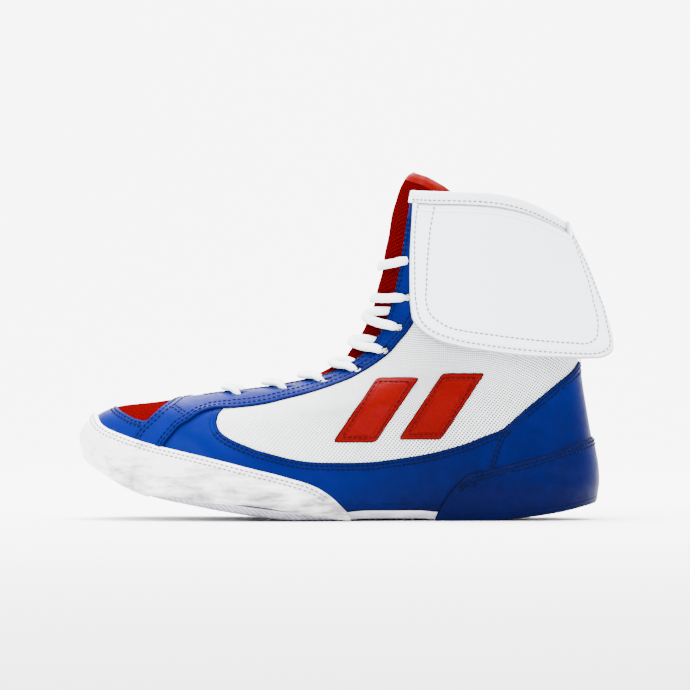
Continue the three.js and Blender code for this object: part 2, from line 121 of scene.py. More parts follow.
# front x and z, back x and z, sag, nose, tail, toe, ball, waist, heel, lean, arch
RINGS = np.array([
    (-139.5, 32.2, 141.5, 9.6, 1, 70, 42, 0.86, 0.91, 0.91, 0.88, 1, 0),
    (-141.2, 32.2, 142.2, 9.6, 1, 71, 44, 0.88, 0.95, 0.96, 0.94, 1, 0),
    (-142.4, 43.0, 143.0, 20.5, 0.93, 72, 45, 0.91, 1.0, 1.02, 1.0, 1, 0),
    (-140.8, 49.5, 142.6, 29.0, 0.8, 78, 45, 0.91, 1.0, 1.04, 1.01, 1, 0),
    (-137.0, 55.8, 141.2, 38.0, 0.62, 85, 45, 0.89, 0.98, 1.05, 0.995, 1, 0),
    (-131.0, 61.5, 139.7, 46.5, 0.42, 98, 45, 0.88, 0.96, 1.05, 0.965, 1, 0),
    (-120.0, 65.6, 138.2, 55.0, 0.22, 119, 46, 0.9, 0.94, 1.05, 0.935, 1, 0),
    (-98.0, 67.2, 136.8, 63.5, 0.08, 150, 48, 0.92, 0.92, 1.04, 0.91, 0.95, 0),
    (-72.0, 69.8, 135.4, 72.0, 0, 178, 49, 0.92, 0.88, 1.02, 0.89, 0.85, 0),
    (-42.0, 73.4, 134.2, 81.0, 0, 162, 50, 0.88, 0.82, 1.01, 0.88, 0.7, 0),
    (-14.0, 79.6, 133.3, 91.0, 0, 135, 51, 0.82, 0.77, 0.995, 0.88, 0.5, 0),
    (4.5, 89.5, 132.7, 102.0, 0, 105, 54, 0.75, 0.72, 0.985, 0.89, 0.3, 0),
    (16.0, 103.5, 132.2, 114.0, 0, 84, 55, 0.7, 0.69, 0.98, 0.92, 0.12, 0),
    (22.5, 119.5, 131.6, 126.0, 0, 71, 56, 0.69, 0.686, 1.0, 0.95, 0, 0),
    (27.0, 138.0, 130.5, 138.5, 0, 65, 58, 0.7, 0.7, 1.03, 0.98, 0, 1.5),
    (30.5, 158.0, 128.7, 151.0, 0, 61, 58, 0.72, 0.72, 1.06, 1.01, 0, 4.5),
    (35.0, 181.5, 126.0, 163.0, 0, 58, 58, 0.75, 0.75, 1.1, 1.05, 0, 7.5),
    (39.5, 197.0, 124.0, 177.0, 0, 56, 56, 0.76, 0.76, 1.11, 1.06, 0, 8),
])
RINGS[FEATHER, [1, 3]] += SOLE + GAP
RINGS[:, 7:9] *= HALF_BALL
RINGS[:, 9:11] *= HALF_HEEL
(
    FRONT_X, FRONT_Z, BACK_X, BACK_Z, SAG, NOSE, TAIL, TOE_WIDTH, BALL_WIDTH, WAIST_WIDTH,
    HEEL_WIDTH, LEAN, ARCH,
) = (curve(np.column_stack([np.arange(len(RINGS)), column])) for column in RINGS.T)
STATIONS = (0, 0.12, 0.35, 0.62, 0.9, 1)
STATION_WIDTHS = (TOE_WIDTH, TOE_WIDTH, BALL_WIDTH, WAIST_WIDTH, HEEL_WIDTH, HEEL_WIDTH)
STATION_SHARES = [
    curve([(place, float(i == j)) for j, place in enumerate(STATIONS)])
    for i in range(len(STATIONS))
]


def round_end(share):
    """1 beyond the end's length, and within it a soft quarter round: (1 - (1 - s)^2.5)^0.5."""
    return np.sqrt(1 - np.clip(1 - share, 0, 1) ** ROUNDNESS)


def last(u, k):
    """A point of the last. u goes round a ring: 0 at the front, a half turn at the back, the outer
    side between them. k counts the rings upwards. Along a ring x goes with (1 - cos u) / 2, y is
    the width there times two rounded ends, and z is the line from its front to its back point plus
    its share of the sole's curve."""
    share = (1 - np.cos(u)) / 2
    length = BACK_X(k) - FRONT_X(k)
    x = FRONT_X(k) + length * share
    ends = round_end(length * share / NOSE(k)) * round_end(length * (1 - share) / TAIL(k))
    width = sum(part(share) * size(k) for part, size in zip(STATION_SHARES, STATION_WIDTHS))
    y = MIDDLE(x) * LEAN(k) - np.sign(np.sin(u)) * width * ends
    along = (x - FRONT_X(0)) / (BACK_X(0) - FRONT_X(0))
    sag = GROUND(x) - GROUND(FRONT_X(0)) * (1 - along) - GROUND(BACK_X(0)) * along
    z = FRONT_Z(k) + (BACK_Z(k) - FRONT_Z(k)) * share + SAG(k) * sag
    z = z + ARCH(k) * np.sin(np.pi * share**1.5)
    return np.stack(np.broadcast_arrays(x, y, z), -1)


STEP = 0.004


def unit(vectors):
    """Vectors divided by their lengths."""
    return vectors / np.maximum(np.linalg.norm(vectors, axis=-1, keepdims=True), 1e-12)


def up_along(u, k):
    """The direction up the last's surface."""
    return unit(last(u, k + STEP) - last(u, k - STEP))


def normal(u, k):
    """Across the last's surface: the direction round it times the direction up it."""
    return unit(np.cross(last(u + STEP, k) - last(u - STEP, k), up_along(u, k)))


# Creases that wear has put in: ends in the side view, half width and depth, in mm
CREASES = (
    ((-96, 52), (-60, 30), 5.0, 0.55),
    ((-74, 60), (-44, 30), 5.5, 0.7),
    ((-52, 62), (-24, 24), 6.0, 0.6),
    ((2, 84), (26, 50), 7.0, 0.6),
    ((24, 98), (62, 62), 7.0, 0.8),
    ((48, 78), (92, 70), 6.0, 0.6),
    ((96, 74), (124, 58), 5.0, 0.5),
    ((92, 62), (128, 36), 5.0, 0.5),
    ((66, 14), (112, 12), 4.0, 0.35),
    ((100, 24), (138, 26), 4.5, 0.4),
)


def creases(points, depth):
    """A soft trough along each crease with a low ridge beside it: (1 - 1.6 q^2) exp(-q^2) of the
    distance q in half widths, fading to its ends with a sine."""
    x, z = points[..., 0], points[..., 2]
    total = np.zeros(x.shape)
    for (x0, z0), (x1, z1), width, deep in CREASES:
        length = np.hypot(x1 - x0, z1 - z0)
        along = ((x - x0) * (x1 - x0) + (z - z0) * (z1 - z0)) / length**2
        wander = 1.6 * np.sin(along * 7 + x0)
        across = ((x - x0) * (z1 - z0) - (z - z0) * (x1 - x0)) / length + wander
        q = (across / width) ** 2
        fade = np.sin(np.pi * np.clip(along, 0, 1)) ** 1.5
        total -= deep * fade * (1 - 1.6 * q) * np.exp(-q)
    return total * depth


def skin(u, k, lift):
    """The last's surface lifted along its normal."""
    return last(u, k) + normal(u, k) * np.asarray(lift, float)[..., None]


# The throat, where the tongue shows, and the eyelets beside it
THROAT_START = 7.45
THROAT_HALF = curve([
    (THROAT_START, 0.5), (7.52, 4.5), (7.7, 7.5), (8, 9.5), (9, 11.5), (10, 13), (11, 14.5),
    (13, 16), (COLLAR, 17), (COLLAR + 1, 17),
], level=True)
EYELETS = (8.02, 8.8, 9.5, 10.25, 11.2, 12.1, 13.15, 14.3)
EYELET_MARGINS = (13.0, 13.0, 12.5, 11.5, 10.5, 9.5, 9.0, 9.0)  # from the throat's edge
EYELET_RADIUS = 2.3


def throat_angle(k, beside=0.0):
    """The angle round a ring of the throat's edge, or of a line beside it."""
    bend = np.sqrt(ROUNDNESS * (BACK_X(k) - FRONT_X(k)) / (4 * NOSE(k)))
    return (THROAT_HALF(k) + beside) / (TOE_WIDTH(k) * bend)


def way_along(points):
    """Length from the first point to each point."""
    return np.concatenate([[0], np.cumsum(np.linalg.norm(np.diff(points, axis=0), axis=-1))])


POINT_PITCH = 1.5  # mm between the points of a side view line


def stroke(points):
    """A smooth line through side view points: x and z are each a curve of the length so far."""
    points = np.asarray(points, float)
    way = way_along(points)
    at = np.linspace(0, way[-1], max(2, int(way[-1] / POINT_PITCH) + 1))
    return np.column_stack([curve(np.column_stack([way, v]))(at) for v in points.T])


def beside(line, distance):
    """A line shifted to its left (+) or right (-) in the side view."""
    ahead = unit(np.gradient(line, axis=0))
    return line + distance * np.column_stack([-ahead[:, 1], ahead[:, 0]])


def inside(outline, x, z):
    """Distance in the side view from a closed outline: above zero inside it, below zero outside."""
    nearest = np.full(x.shape, np.inf)
    within = np.zeros(x.shape, bool)
    for (x0, z0), (x1, z1) in zip(outline, np.roll(outline, -1, axis=0)):
        dx, dz = x1 - x0, z1 - z0
        if dx == dz == 0:
            continue
        share = np.clip(((x - x0) * dx + (z - z0) * dz) / (dx * dx + dz * dz), 0, 1)
        nearest = np.minimum(nearest, np.hypot(x - x0 - share * dx, z - z0 - share * dz))
        if dz:
            within ^= ((z0 > z) != (z1 > z)) & (x < x0 + (z - z0) * dx / dz)
    return np.where(within, nearest, -nearest)


class Form:
    """A surface on a grid whose columns run round the boot and whose rows run up it."""

    def __init__(self, u, k, base, out, depth):
        self.u, self.k, self.base, self.out = u, k, base, out
        self.crease = creases(base, depth)
        self.x, self.z = base[..., 0], base[..., 2]
        columns = base.shape[1]
        step = np.linalg.norm(np.roll(base, -1, 1) - base, axis=-1)
        round_it = np.cumsum(step, axis=1) - step
        climb = np.linalg.norm(np.diff(base, axis=0), axis=-1)
        self.rise = np.concatenate([np.zeros((1, columns)), np.cumsum(climb, axis=0)])
        self.cloth = np.stack([abs(round_it - round_it[:, [columns // 2]]), self.rise], -1)

    def at(self, lift):
        """Its points lifted off it, with the creases."""
        return self.base + self.out * (lift + self.crease)[..., None]

    def height(self, level):
        """Length up each column from a level, in mm."""
        return self.rise - self.sample(*np.broadcast_arrays(self.row(level), self.columns()),
                                       self.rise)

    def row(self, k):
        """The row, with its fraction, at a level of the last."""
        return np.interp(k, self.k[:, 0], np.arange(len(self.k)))

    def columns(self):
        return np.arange(self.base.shape[1], dtype=float)

    def even(self, field):
        """A field divided by its slope over the surface, so that it counts mm on the surface."""
        (around, up), (a, b) = (
            (np.roll(grid, -1, 1) - np.roll(grid, 1, 1), 2 * np.gradient(grid, axis=0))
            for grid in (self.base, field)
        )
        e, f, g = ((p * q).sum(-1) for p, q in ((around, around), (around, up), (up, up)))
        slope = (g * a * a - 2 * f * a * b + e * b * b) / np.maximum(e * g - f * f, 1e-9)
        return field / np.clip(np.sqrt(np.maximum(slope, 0)), 0.3, 3)

    def sample(self, row, column, grid):
        """Values of a grid between its points, straight along both ways."""
        rows, columns = grid.shape[:2]
        i = np.clip(np.floor(row).astype(int), 0, rows - 2)
        j = np.floor(column).astype(int)
        s, t = row - i, column - j
        if grid.ndim == 3:
            s, t = s[..., None], t[..., None]
        near, far = grid[i, j % columns], grid[i + 1, j % columns]
        near_next, far_next = grid[i, (j + 1) % columns], grid[i + 1, (j + 1) % columns]
        return (near * (1 - s) + far * s) * (1 - t) + (near_next * (1 - s) + far_next * s) * t

    def find(self, line):
        """Rows and columns of side view points on the outer side: the nearest grid point, and from
        there a straight step along the grid's two directions."""
        half = self.base.shape[1] // 2
        x, z = self.x[:, : half + 1], self.z[:, : half + 1]
        spots = [np.argmin((x - a) ** 2 + (z - b) ** 2) for a, b in line]
        row, column = np.unravel_index(spots, x.shape)
        r, c = np.clip(row, 1, len(x) - 2), np.clip(column, 1, half - 1)
        xr, zr = (x[r + 1, c] - x[r - 1, c]) / 2, (z[r + 1, c] - z[r - 1, c]) / 2
        xc, zc = (x[r, c + 1] - x[r, c - 1]) / 2, (z[r, c + 1] - z[r, c - 1]) / 2
        dx, dz = line[:, 0] - x[row, column], line[:, 1] - z[row, column]
        det = xr * zc - xc * zr
        det = np.where(abs(det) < 1e-6, 1e-6, det)
        row = row + np.clip((dx * zc - dz * xc) / det, -0.5, 0.5)
        column = column + np.clip((xr * dz - zr * dx) / det, -0.5, 0.5)
        return np.column_stack([row, np.clip(column, 0, half)])


LEAST_FIELD = 0.02  # keeps a cut this far from the grid's points, so that no triangle is a sliver


def clip(field, values):
    """Triangles of a closed ring grid where a field is above zero. A triangle that the field's zero
    line crosses is cut along it, and the values there lie straight between its corners'."""
    rows, columns = field.shape
    index = np.arange(rows * columns).reshape(rows, columns)
    a, c = index[:-1], index[1:]
    b, d = np.roll(a, -1, 1), np.roll(c, -1, 1)
    corners = np.concatenate([np.stack(t, -1).reshape(-1, 3) for t in ((a, b, d), (a, d, c))])
    level = field.ravel()
    level = np.where(abs(level) < LEAST_FIELD, np.where(level < 0, -1, 1) * LEAST_FIELD, level)
    held = level[corners] > 0
    count = held.sum(1)

    def first(which, kind):
        start = np.argmax(held[which] == kind, axis=1)
        return np.take_along_axis(corners[which], (start[:, None] + np.arange(3)) % 3, 1)

    one, two = first(count == 1, True), first(count == 2, False)
    pairs = np.sort(np.concatenate([one[:, [0, 1]], one[:, [0, 2]], two[:, [0, 1]], two[:, [0, 2]]]))
    keys, inverse = np.unique(pairs[:, 0] * level.size + pairs[:, 1], return_inverse=True)
    p, q = keys // level.size, keys % level.size
    share = (level[p] / (level[p] - level[q]))[:, None]
    values = np.concatenate([values, values[p] * (1 - share) + values[q] * share])
    new = level.size + inverse.ravel()
    e, f, g, h = np.split(new, [len(one), 2 * len(one), 2 * len(one) + len(two)])
    triangles = np.concatenate([
        corners[count == 3],
        np.column_stack([one[:, 0], e, f]),
        np.column_stack([g, two[:, 1], two[:, 2]]),
        np.column_stack([g, two[:, 2], h]),
    ])
    used, triangles = np.unique(triangles, return_inverse=True)
    return triangles.reshape(-1, 3), values[used]


def piece(name, points, faces, finishes, cloth=None, edge=None, under=None):
    """A mesh object from pattern points in mm, with its finishes and the body it is on.
    Faces are a list of arrays, and under gives each array's place in the finishes."""
    mesh = bpy.data.meshes.new(name)
    mesh.from_pydata(((points + SHIFT) * MM).tolist(), [], [f for a in faces for f in a.tolist()])
    mesh.polygons.foreach_set("use_smooth", np.ones(len(mesh.polygons), bool))
    if under is not None:
        which = np.repeat(under, [len(a) for a in faces]).astype(np.int32)
        mesh.polygons.foreach_set("material_index", which)
    if cloth is not None:
        corner = np.empty(len(mesh.loops), np.int32)
        mesh.loops.foreach_get("vertex_index", corner)
        mesh.uv_layers.new(name="cloth").data.foreach_set("uv", cloth[corner].ravel())
    if edge is not None:
        mesh.attributes.new("edge", "FLOAT", "POINT").data.foreach_set("value", edge)
    mesh.update()
    for finish in finishes:
        mesh.materials.append(finish)
    thing = bpy.data.objects.new(name, mesh)
    bpy.context.scene.collection.objects.link(thing)
    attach(thing, "root")
    return thing


RIM_HEIGHTS = (0.65, 0.2)  # of its two rings, as shares of a panel's thickness
RIM_REACH = 0.25  # of its rings beyond the panel's edge


def panel(name, form, field, low, high, finishes, crown=1.3, top=None, bottom=None):
    """A closed sheet over the part of a form where the field is above zero. Its top rises from its
    edge to its full thickness over the crown's width, 1 - 0.5 (1 - f / crown)^2 of it, and a round
    rim joins it to its underside."""
    swell = 1 - 0.5 * (1 - np.clip(field / crown, 0, 1)) ** 2
    top = form.at(low + (high - low) * swell) if top is None else top
    bottom = form.at(np.full(field.shape, low)) if bottom is None else bottom
    values = np.concatenate([top, bottom, form.out, field[..., None], form.cloth], -1)
    triangles, data = clip(field, values.reshape(-1, values.shape[-1]))
    upper, lower, out, edge, cloth = np.split(data, [3, 6, 9, 10], axis=1)
    count = len(data)
    sides = triangles[:, [[0, 1], [1, 2], [2, 0]]].reshape(-1, 2)
    alone = ~np.isin(sides[:, 0] * count + sides[:, 1], sides[:, 1] * count + sides[:, 0])
    rim = sides[alone]
    away = unit(np.cross(upper[rim[:, 1]] - upper[rim[:, 0]], out[rim[:, 0]]))
    outward = np.zeros((count, 3))
    np.add.at(outward, rim[:, 0], away)
    np.add.at(outward, rim[:, 1], away)
    spots, ring = np.unique(rim, return_inverse=True)
    ring = ring.reshape(-1, 2)
    reach = RIM_REACH * (high - low) * unit(outward[spots])
    rings = [upper[spots] * share + lower[spots] * (1 - share) + reach for share in RIM_HEIGHTS]
    one, two = ring + 2 * count, ring + 2 * count + len(spots)

    def wall(a, b):
        return np.column_stack([b[:, 0], b[:, 1], a[:, 1], a[:, 0]])

    walls = np.concatenate([wall(rim, one), wall(one, two), wall(two, rim + count)])
    edge = edge[:, 0]
    return piece(
        name, np.concatenate([upper, lower, *rings]),
        [triangles, walls, triangles[:, ::-1] + count], finishes,
        cloth=np.concatenate([cloth, cloth, cloth[spots], cloth[spots]]),
        edge=np.concatenate([edge, edge, edge[spots], edge[spots]]),
        under=[0, 0, len(finishes) - 1],
    )


def ring_quads(index):
    """Faces between closed rings of point numbers, each row a ring."""
    a, b = index[:-1], index[1:]
    return np.stack([a, b, np.roll(b, -1, 1), np.roll(a, -1, 1)], -1).reshape(-1, 4)


def sweep(name, rings, finishes, cloth):
    """A closed skin over rings of points along a path, with a flat face over each end."""
    count, around = rings.shape[:2]
    index = np.arange(count * around).reshape(count, around)
    return piece(name, rings.reshape(-1, 3), [ring_quads(index), index[:1], index[-1:, ::-1]],
                 finishes, cloth=cloth)


def zipped(name, grid, finishes, cloth=None, under=None, edge=None):
    """A closed skin over rings of points whose first and last rings are folded flat: each point
    there is joined to the one opposite, so that the ends need no face."""
    rows, columns = grid.shape[:2]
    half = columns // 2
    index = np.arange(rows * columns).reshape(rows, columns)
    for end in (0, -1):
        index[end, half + 1 :] = index[end, 1:half][::-1]
    a, b = index[:-1], index[1:]
    quads = np.stack([a, np.roll(a, -1, 1), np.roll(b, -1, 1), b], -1).reshape(-1, 4)
    same = np.sort(quads, axis=1)
    whole = (np.diff(same, axis=1) > 0).all(1)
    corners = np.concatenate([quads[~whole][:, [0, 1, 2]], quads[~whole][:, [0, 2, 3]]])
    corners = corners[(np.diff(np.sort(corners, axis=1), axis=1) > 0).all(1)]
    used, flat = np.unique(np.concatenate([quads[whole].ravel(), corners.ravel()]),
                           return_inverse=True)
    flat = flat.ravel()
    split = quads[whole].size
    faces = [flat[:split].reshape(-1, 4), flat[split:].reshape(-1, 3)]
    thing = piece(name, grid.reshape(-1, 3)[used], faces, finishes,
                  cloth=None if cloth is None else cloth.reshape(-1, 2)[used],
                  edge=None if edge is None else edge.ravel()[used])
    if under is not None:
        each = np.repeat(under, columns)
        which = np.concatenate([each[whole], np.full(len(corners), each[-1])])
        thing.data.polygons.foreach_set("material_index", which.astype(np.int32))
    return thing


# Outlines in the side view, in mm
BAND_FRONT = stroke([(-84, 74), (-91.5, 67.5), (-98, 62.5), (-106, 55), (-110, 51), (-114, 45),
                     (-118, 37), (-120, 28)])
BAND_REAR = stroke([(-101, 30), (-99, 36), (-97, 40), (-95, 43), (-91, 48), (-87, 52), (-82, 55),
                    (-77, 58.5), (-70, 61), (-60, 62.5), (-50, 63.5), (-40, 65), (-30, 67.5),
                    (-20, 70), (-10, 73), (0, 76.5), (10, 81), (20, 87), (27, 92.5), (33, 99),
                    (38, 105), (41.5, 111), (45, 122), (48, 140), (52, 165), (56, 200)])
WINDOW_FRONT = stroke([(-124.5, 66.5), (-124, 64), (-122, 61.5), (-118, 59), (-113, 56.5),
                       (-108.2, 55.2)])
WINDOW_REAR = stroke([(-106.2, 55.3), (-102, 59), (-98, 63), (-94, 66), (-88, 71)])
MESH_LOWER = stroke([(-67.5, 55), (-67, 52), (-65, 49), (-61, 46), (-55, 43), (-50, 41),
                     (-45, 39), (-40, 37.7), (-30, 35), (-20, 33), (-10, 32.2), (0, 32), (10, 32),
                     (20, 32.5), (30, 33.8), (40, 35.2), (50, 37), (60, 39.5), (70, 42.5),
                     (80, 46.5), (90, 50.5), (95, 54.5), (100, 59), (110, 67), (120, 75),
                     (130, 83), (135, 90), (142, 104)])
HEEL_FRONT = stroke([(94, 55), (90, 49.5), (88, 47), (86, 43.5), (84, 38), (82, 32), (80, 27),
                     (77, 18)])
WRAP_TOP = stroke([(53, 1), (56, 8), (60, 14), (66, 21), (70, 24.5), (80, 27.2), (100, 32.2),
                   (120, 38), (130, 41.5), (142, 46.5)])
RAND_TOP = stroke([(-134.5, 60), (-134, 57), (-132, 53), (-128, 50), (-122, 47.5), (-115, 45),
                   (-105, 42), (-90, 38.5), (-70, 34), (-50, 29), (-30, 24), (-11, 17.5),
                   (-5, 13.5), (0, 9), (3, 6), (6.5, 1)])
RAND_FOOT = stroke([(0, 1.7), (-10, 3.2), (-20, 4.7), (-30, 6.7), (-40, 8.2), (-50, 9.7),
                    (-60, 10.2), (-75, 11), (-85, 12.7), (-95, 14), (-104, 14.6)])
CUFF_EDGE = stroke([(41.6, 176), (41, 165), (40.1, 150), (39.8, 130), (40.1, 118), (41.6, 110),
                    (46, 104.5), (54, 99.6), (65, 96.3), (80, 93.8), (100, 91.2), (120, 90.1),
                    (138, 89.7), (146, 90.5), (150.2, 93.5), (150.7, 98), (148, 110), (141, 130),
                    (134.5, 146), (129.5, 156), (126, 165)])
CUFF_ROWS = (
    [(45, 174), (44, 168), (43, 155), (43, 140), (43.4, 120), (45, 112), (48, 106.8), (52.5, 103.5),
     (58.7, 101), (65, 99), (80, 96.5), (100, 94), (120, 92.3), (130, 91.7), (140, 91.5),
     (145, 92.7), (148, 95.5), (148.3, 99), (147, 105), (144.3, 117), (140, 128), (136, 138),
     (131, 149), (127.4, 157)],
    [(53.5, 173), (51.5, 162), (50, 148), (49, 130), (48.8, 120), (49.7, 116), (52, 112),
     (55, 109.5), (61, 106), (68, 104.3), (80, 102.6), (100, 100), (120, 98), (130, 97.3),
     (135, 97), (138, 98), (140.5, 100), (141.5, 105), (141, 112), (139, 120), (136.5, 130),
     (133, 140), (130, 148), (127, 156)],
)
BARS = (
    [(-3, 43.5), (20, 43.5), (44, 79), (21, 79)],
    [(33, 45), (56, 45), (80, 81), (57, 81)],
)


def rounded(corners, radius=2.0):
    """A closed outline with its corners rounded: each corner gives a bow through points on its two
    sides, (1 - t)^2 a + 2 t (1 - t) b + t^2 c."""
    corners = np.asarray(corners, float)
    before = corners + radius * unit(np.roll(corners, 1, 0) - corners)
    after = corners + radius * unit(np.roll(corners, -1, 0) - corners)
    t = np.linspace(0, 1, 6)[None, :, None]
    bow = (1 - t) ** 2 * before[:, None] + 2 * t * (1 - t) * corners[:, None] + t**2 * after[:, None]
    return bow.reshape(-1, 2)


def dense(line):
    """The same line with points a pitch apart, straight between its own."""
    line = np.asarray(line, float)
    way = way_along(line)
    at = np.linspace(0, way[-1], int(way[-1] / POINT_PITCH) + 2)
    return np.column_stack([np.interp(at, way, axis) for axis in line.T])


@cache
def last_form(columns, pitch, depth):
    """The last on a grid: even angles round it, and rows a pitch apart, in mm, along the longest of
    its front, side and back lines."""
    u = np.linspace(0, TURN, columns, endpoint=False)[None, :]
    fine = np.linspace(-0.5, 16.6, 900)
    lines = last(np.array([[0.0], [np.pi / 2], [np.pi]]), fine[None, :])
    way = np.concatenate([[0], np.cumsum(np.linalg.norm(np.diff(lines, axis=1), axis=-1).max(0))])
    k = np.interp(np.arange(0, way[-1], pitch), way, fine)[:, None]
    return Form(u, k, last(u, k), normal(u, k), depth)


def cuff_point(u, k):
    """The cuff's inner face: the shaft's surface, moved back and out the further it hangs."""
    share = (1 - np.cos(u)) / 2
    hang = np.maximum(0, CUFF_TOP - BACK_Z(k)) / (CUFF_TOP - CUFF_BOTTOM)
    t = np.clip((share - CUFF_LEAVES) / (1 - CUFF_LEAVES), 0, 1)
    back = t * t * (3 - 2 * t)
    point = skin(u, k, np.full(np.broadcast(u, k).shape, GAP))
    point[..., 0] += back * (1 + CUFF_FLARE * hang)
    point[..., 1] -= np.sign(np.sin(u)) * np.sin(u) ** 2 * CUFF_SPREAD * hang
    return point


@cache
def cuff_form():
    """The cuff on a grid, with the low waves of a sheet that hangs free: a sine of x by a sine of z."""
    u = np.linspace(0, TURN, 560, endpoint=False)[None, :]
    k = np.linspace(8.6, 16.9, 110)[:, None]
    base = cuff_point(u, k)
    around = np.roll(base, -1, 1) - np.roll(base, 1, 1)
    out = unit(np.cross(around, np.gradient(base, axis=0)))
    wave = 0.35 * np.sin(base[..., 0] * 0.075 + 1) * np.sin(base[..., 2] * 0.06)
    return Form(u, k, base + out * wave[..., None], out, 0.0)


FAR = 60.0  # a field's value, in mm, where what it measures from is nowhere near


def throat_distance(form):
    """Distance from the throat's edge: the width across the front less half the throat."""
    across = abs(form.base[..., 1] - form.base[:, :1, 1]) - THROAT_HALF(form.k)
    ahead = np.cos(form.u) > 0
    return form.even(np.where(ahead, np.clip(across, -20, FAR), FAR))


def eyelet_distance(form):
    """Distance from the nearest eyelet's rim."""
    nearest = np.full(form.x.shape, np.inf)
    for k, margin in zip(EYELETS[:7], EYELET_MARGINS):
        for side in (1, -1):
            centre = last(side * throat_angle(k, margin), k)
            nearest = np.minimum(nearest, np.linalg.norm(form.base - centre, axis=-1))
    return nearest - EYELET_RADIUS


# Materials. Each is made once for each set of values that it is called with.
def colour(red, green, blue):
    """A colour given as it looks on a screen, from 0 to 255, made linear."""
    share = np.array([red, green, blue]) / 255
    return tuple(np.where(share <= 0.04045, share / 12.92, ((share + 0.055) / 1.055) ** 2.4))


def darker(tint, share):
    return tuple(share * c for c in tint)


class Wire:
    """A socket whose operators add Math nodes to its material."""

    def __init__(self, finish, socket):
        self.finish, self.socket = finish, socket

    def maths(self, operation, *values, clamp=False):
        settings = {"operation": operation, "use_clamp": clamp}
        return self.finish.add("ShaderNodeMath", settings, *values)

    def __add__(self, other):
        return self.maths("ADD", self, other)

    def __mul__(self, other):
        return self.maths("MULTIPLY", self, other)

    def __sub__(self, other):
        return self.maths("SUBTRACT", self, other)

    def __rsub__(self, other):
        return self.maths("SUBTRACT", other, self)

    def __truediv__(self, other):
        return self.maths("DIVIDE", self, other)

    __radd__, __rmul__ = __add__, __mul__

    def cos(self):
        return self.maths("COSINE", self)

    def size(self):
        return self.maths("ABSOLUTE", self)

    def between(self, low, high):
        """0 at low, 1 at high, straight between them and held beyond them."""
        return self.maths("MULTIPLY", self - low, 1 / (high - low), clamp=True)


class Finish:
    """A material and what adds nodes to it."""

    def __init__(self, name, rough=0.5, **sockets):
        self.material = bpy.data.materials.new(name)
        self.material.use_nodes = True
        self.tree = self.material.node_tree
        self.shader = self.tree.nodes["Principled BSDF"]
        self.place = self.add("ShaderNodeTexCoord", out="Object")
        for socket, value in {"Roughness": rough, **sockets}.items():
            self.join(self.shader.inputs[socket], value)

    def join(self, socket, value):
        if isinstance(value, Wire):
            self.tree.links.new(value.socket, socket)
        else:
            vector = isinstance(value, (tuple, list))
            full = len(socket.default_value) if vector else 0
            socket.default_value = (*value, 1.0)[:full] if vector else value

    def add(self, kind, settings=None, *values, out=0, **named):
        """Adds a node of a type with its settings, then its sockets' values or links."""
        node = self.tree.nodes.new(kind)
        for setting, value in (settings or {}).items():
            setattr(node, setting, value)
        for socket, value in zip(node.inputs, values):
            self.join(socket, value)
        for socket, value in named.items():
            self.join(node.inputs[socket.replace("_", " ")], value)
        return Wire(self, node.outputs[out])

    def noise(self, size, detail=3.0, rough=0.5, place=None):
        """Soft random values whose features are about a size in mm."""
        return self.add("ShaderNodeTexNoise", {"noise_dimensions": "3D"},
                        Vector=place or self.place, Scale=1 / (size * MM), Detail=detail,
                        Roughness=rough)

    def stretched(self, x, y, z):
        """Object coordinates scaled along each axis, for streaks."""
        return self.add("ShaderNodeVectorMath", {"operation": "MULTIPLY"}, self.place, (x, y, z))

    def mix(self, share, first, second):
        node = self.tree.nodes.new("ShaderNodeMix")
        node.data_type = "RGBA"
        for i, value in ((0, share), (6, first), (7, second)):
            self.join(node.inputs[i], value)
        return Wire(self, node.outputs[2])

    def axes(self, vector=None):
        node = self.tree.nodes.new("ShaderNodeSeparateXYZ")
        self.join(node.inputs[0], vector or self.place)
        return [Wire(self, socket) for socket in node.outputs]

    def cloth(self):
        """The cloth's own length round the boot and up it, in mm."""
        return self.axes(self.add("ShaderNodeUVMap", {"uv_map": "cloth"}))[:2]

    def edge(self):
        """Distance from the piece's edge, in mm."""
        return self.add("ShaderNodeAttribute", {"attribute_name": "edge"}, out="Fac")

    def bump(self, height, deep, strength=1.0):
        """Height in mm, as a bump on the shader's normal."""
        self.join(self.shader.inputs["Normal"], self.add(
            "ShaderNodeBump", None, Strength=strength, Distance=deep * MM, Height=height))

    def paint(self, tint):
        self.join(self.shader.inputs["Base Color"], tint)
        return self.material


@cache
def leather(name, tint, deep, rough=0.45, grain=1.0, shine=0.03):
    """Leather: fine pebbled grain, a channel under the stitches with painted shade in it, mottling,
    and a darker, rubbed edge. The tint darkens towards the deep tint low down and to the rear,
    which is painted shade."""
    finish = Finish(name, **{"Specular IOR Level": shine})
    x, _, z = finish.axes()
    pebble = finish.add("ShaderNodeTexVoronoi", {"feature": "SMOOTH_F1"}, Vector=finish.place,
                        Scale=1 / (grain * MM), Smoothness=0.6)
    patches = finish.noise(26, 2)
    fine = finish.noise(5, 3)
    edge = finish.edge()
    first, second = (1 - ((edge - inset).size() / 0.55).between(0, 1) for inset in (1.6, 3.6))
    channel = first + second
    # Painted shade: the tint darkens towards the deep tint low down and to the rear, mixed with the
    # mottling of the patches.
    low = 1 - z.between(0.004, 0.075)
    rear = x.between(-0.08, 0.06)
    shade = (low * 0.4 + rear * 0.62 + (patches - 0.5) * 0.45 + (fine - 0.5) * 0.16).between(0, 1)
    dark = finish.mix(shade, tint, deep)
    rubbed = 1 - edge.between(0.15, 0.65)
    # The darker, rubbed edge, and painted shade in the channels under the stitches.
    dark = finish.mix((rubbed * 0.8 + channel * 0.3).between(0, 1), dark, darker(deep, 0.25))
    finish.join(finish.shader.inputs["Roughness"], (fine - 0.5) * 0.22 + rough + rubbed * 0.15)
    finish.bump(pebble * 0.10 + fine * 0.12 - channel * 0.22, 1.0, 0.7)
    return finish.paint(dark)


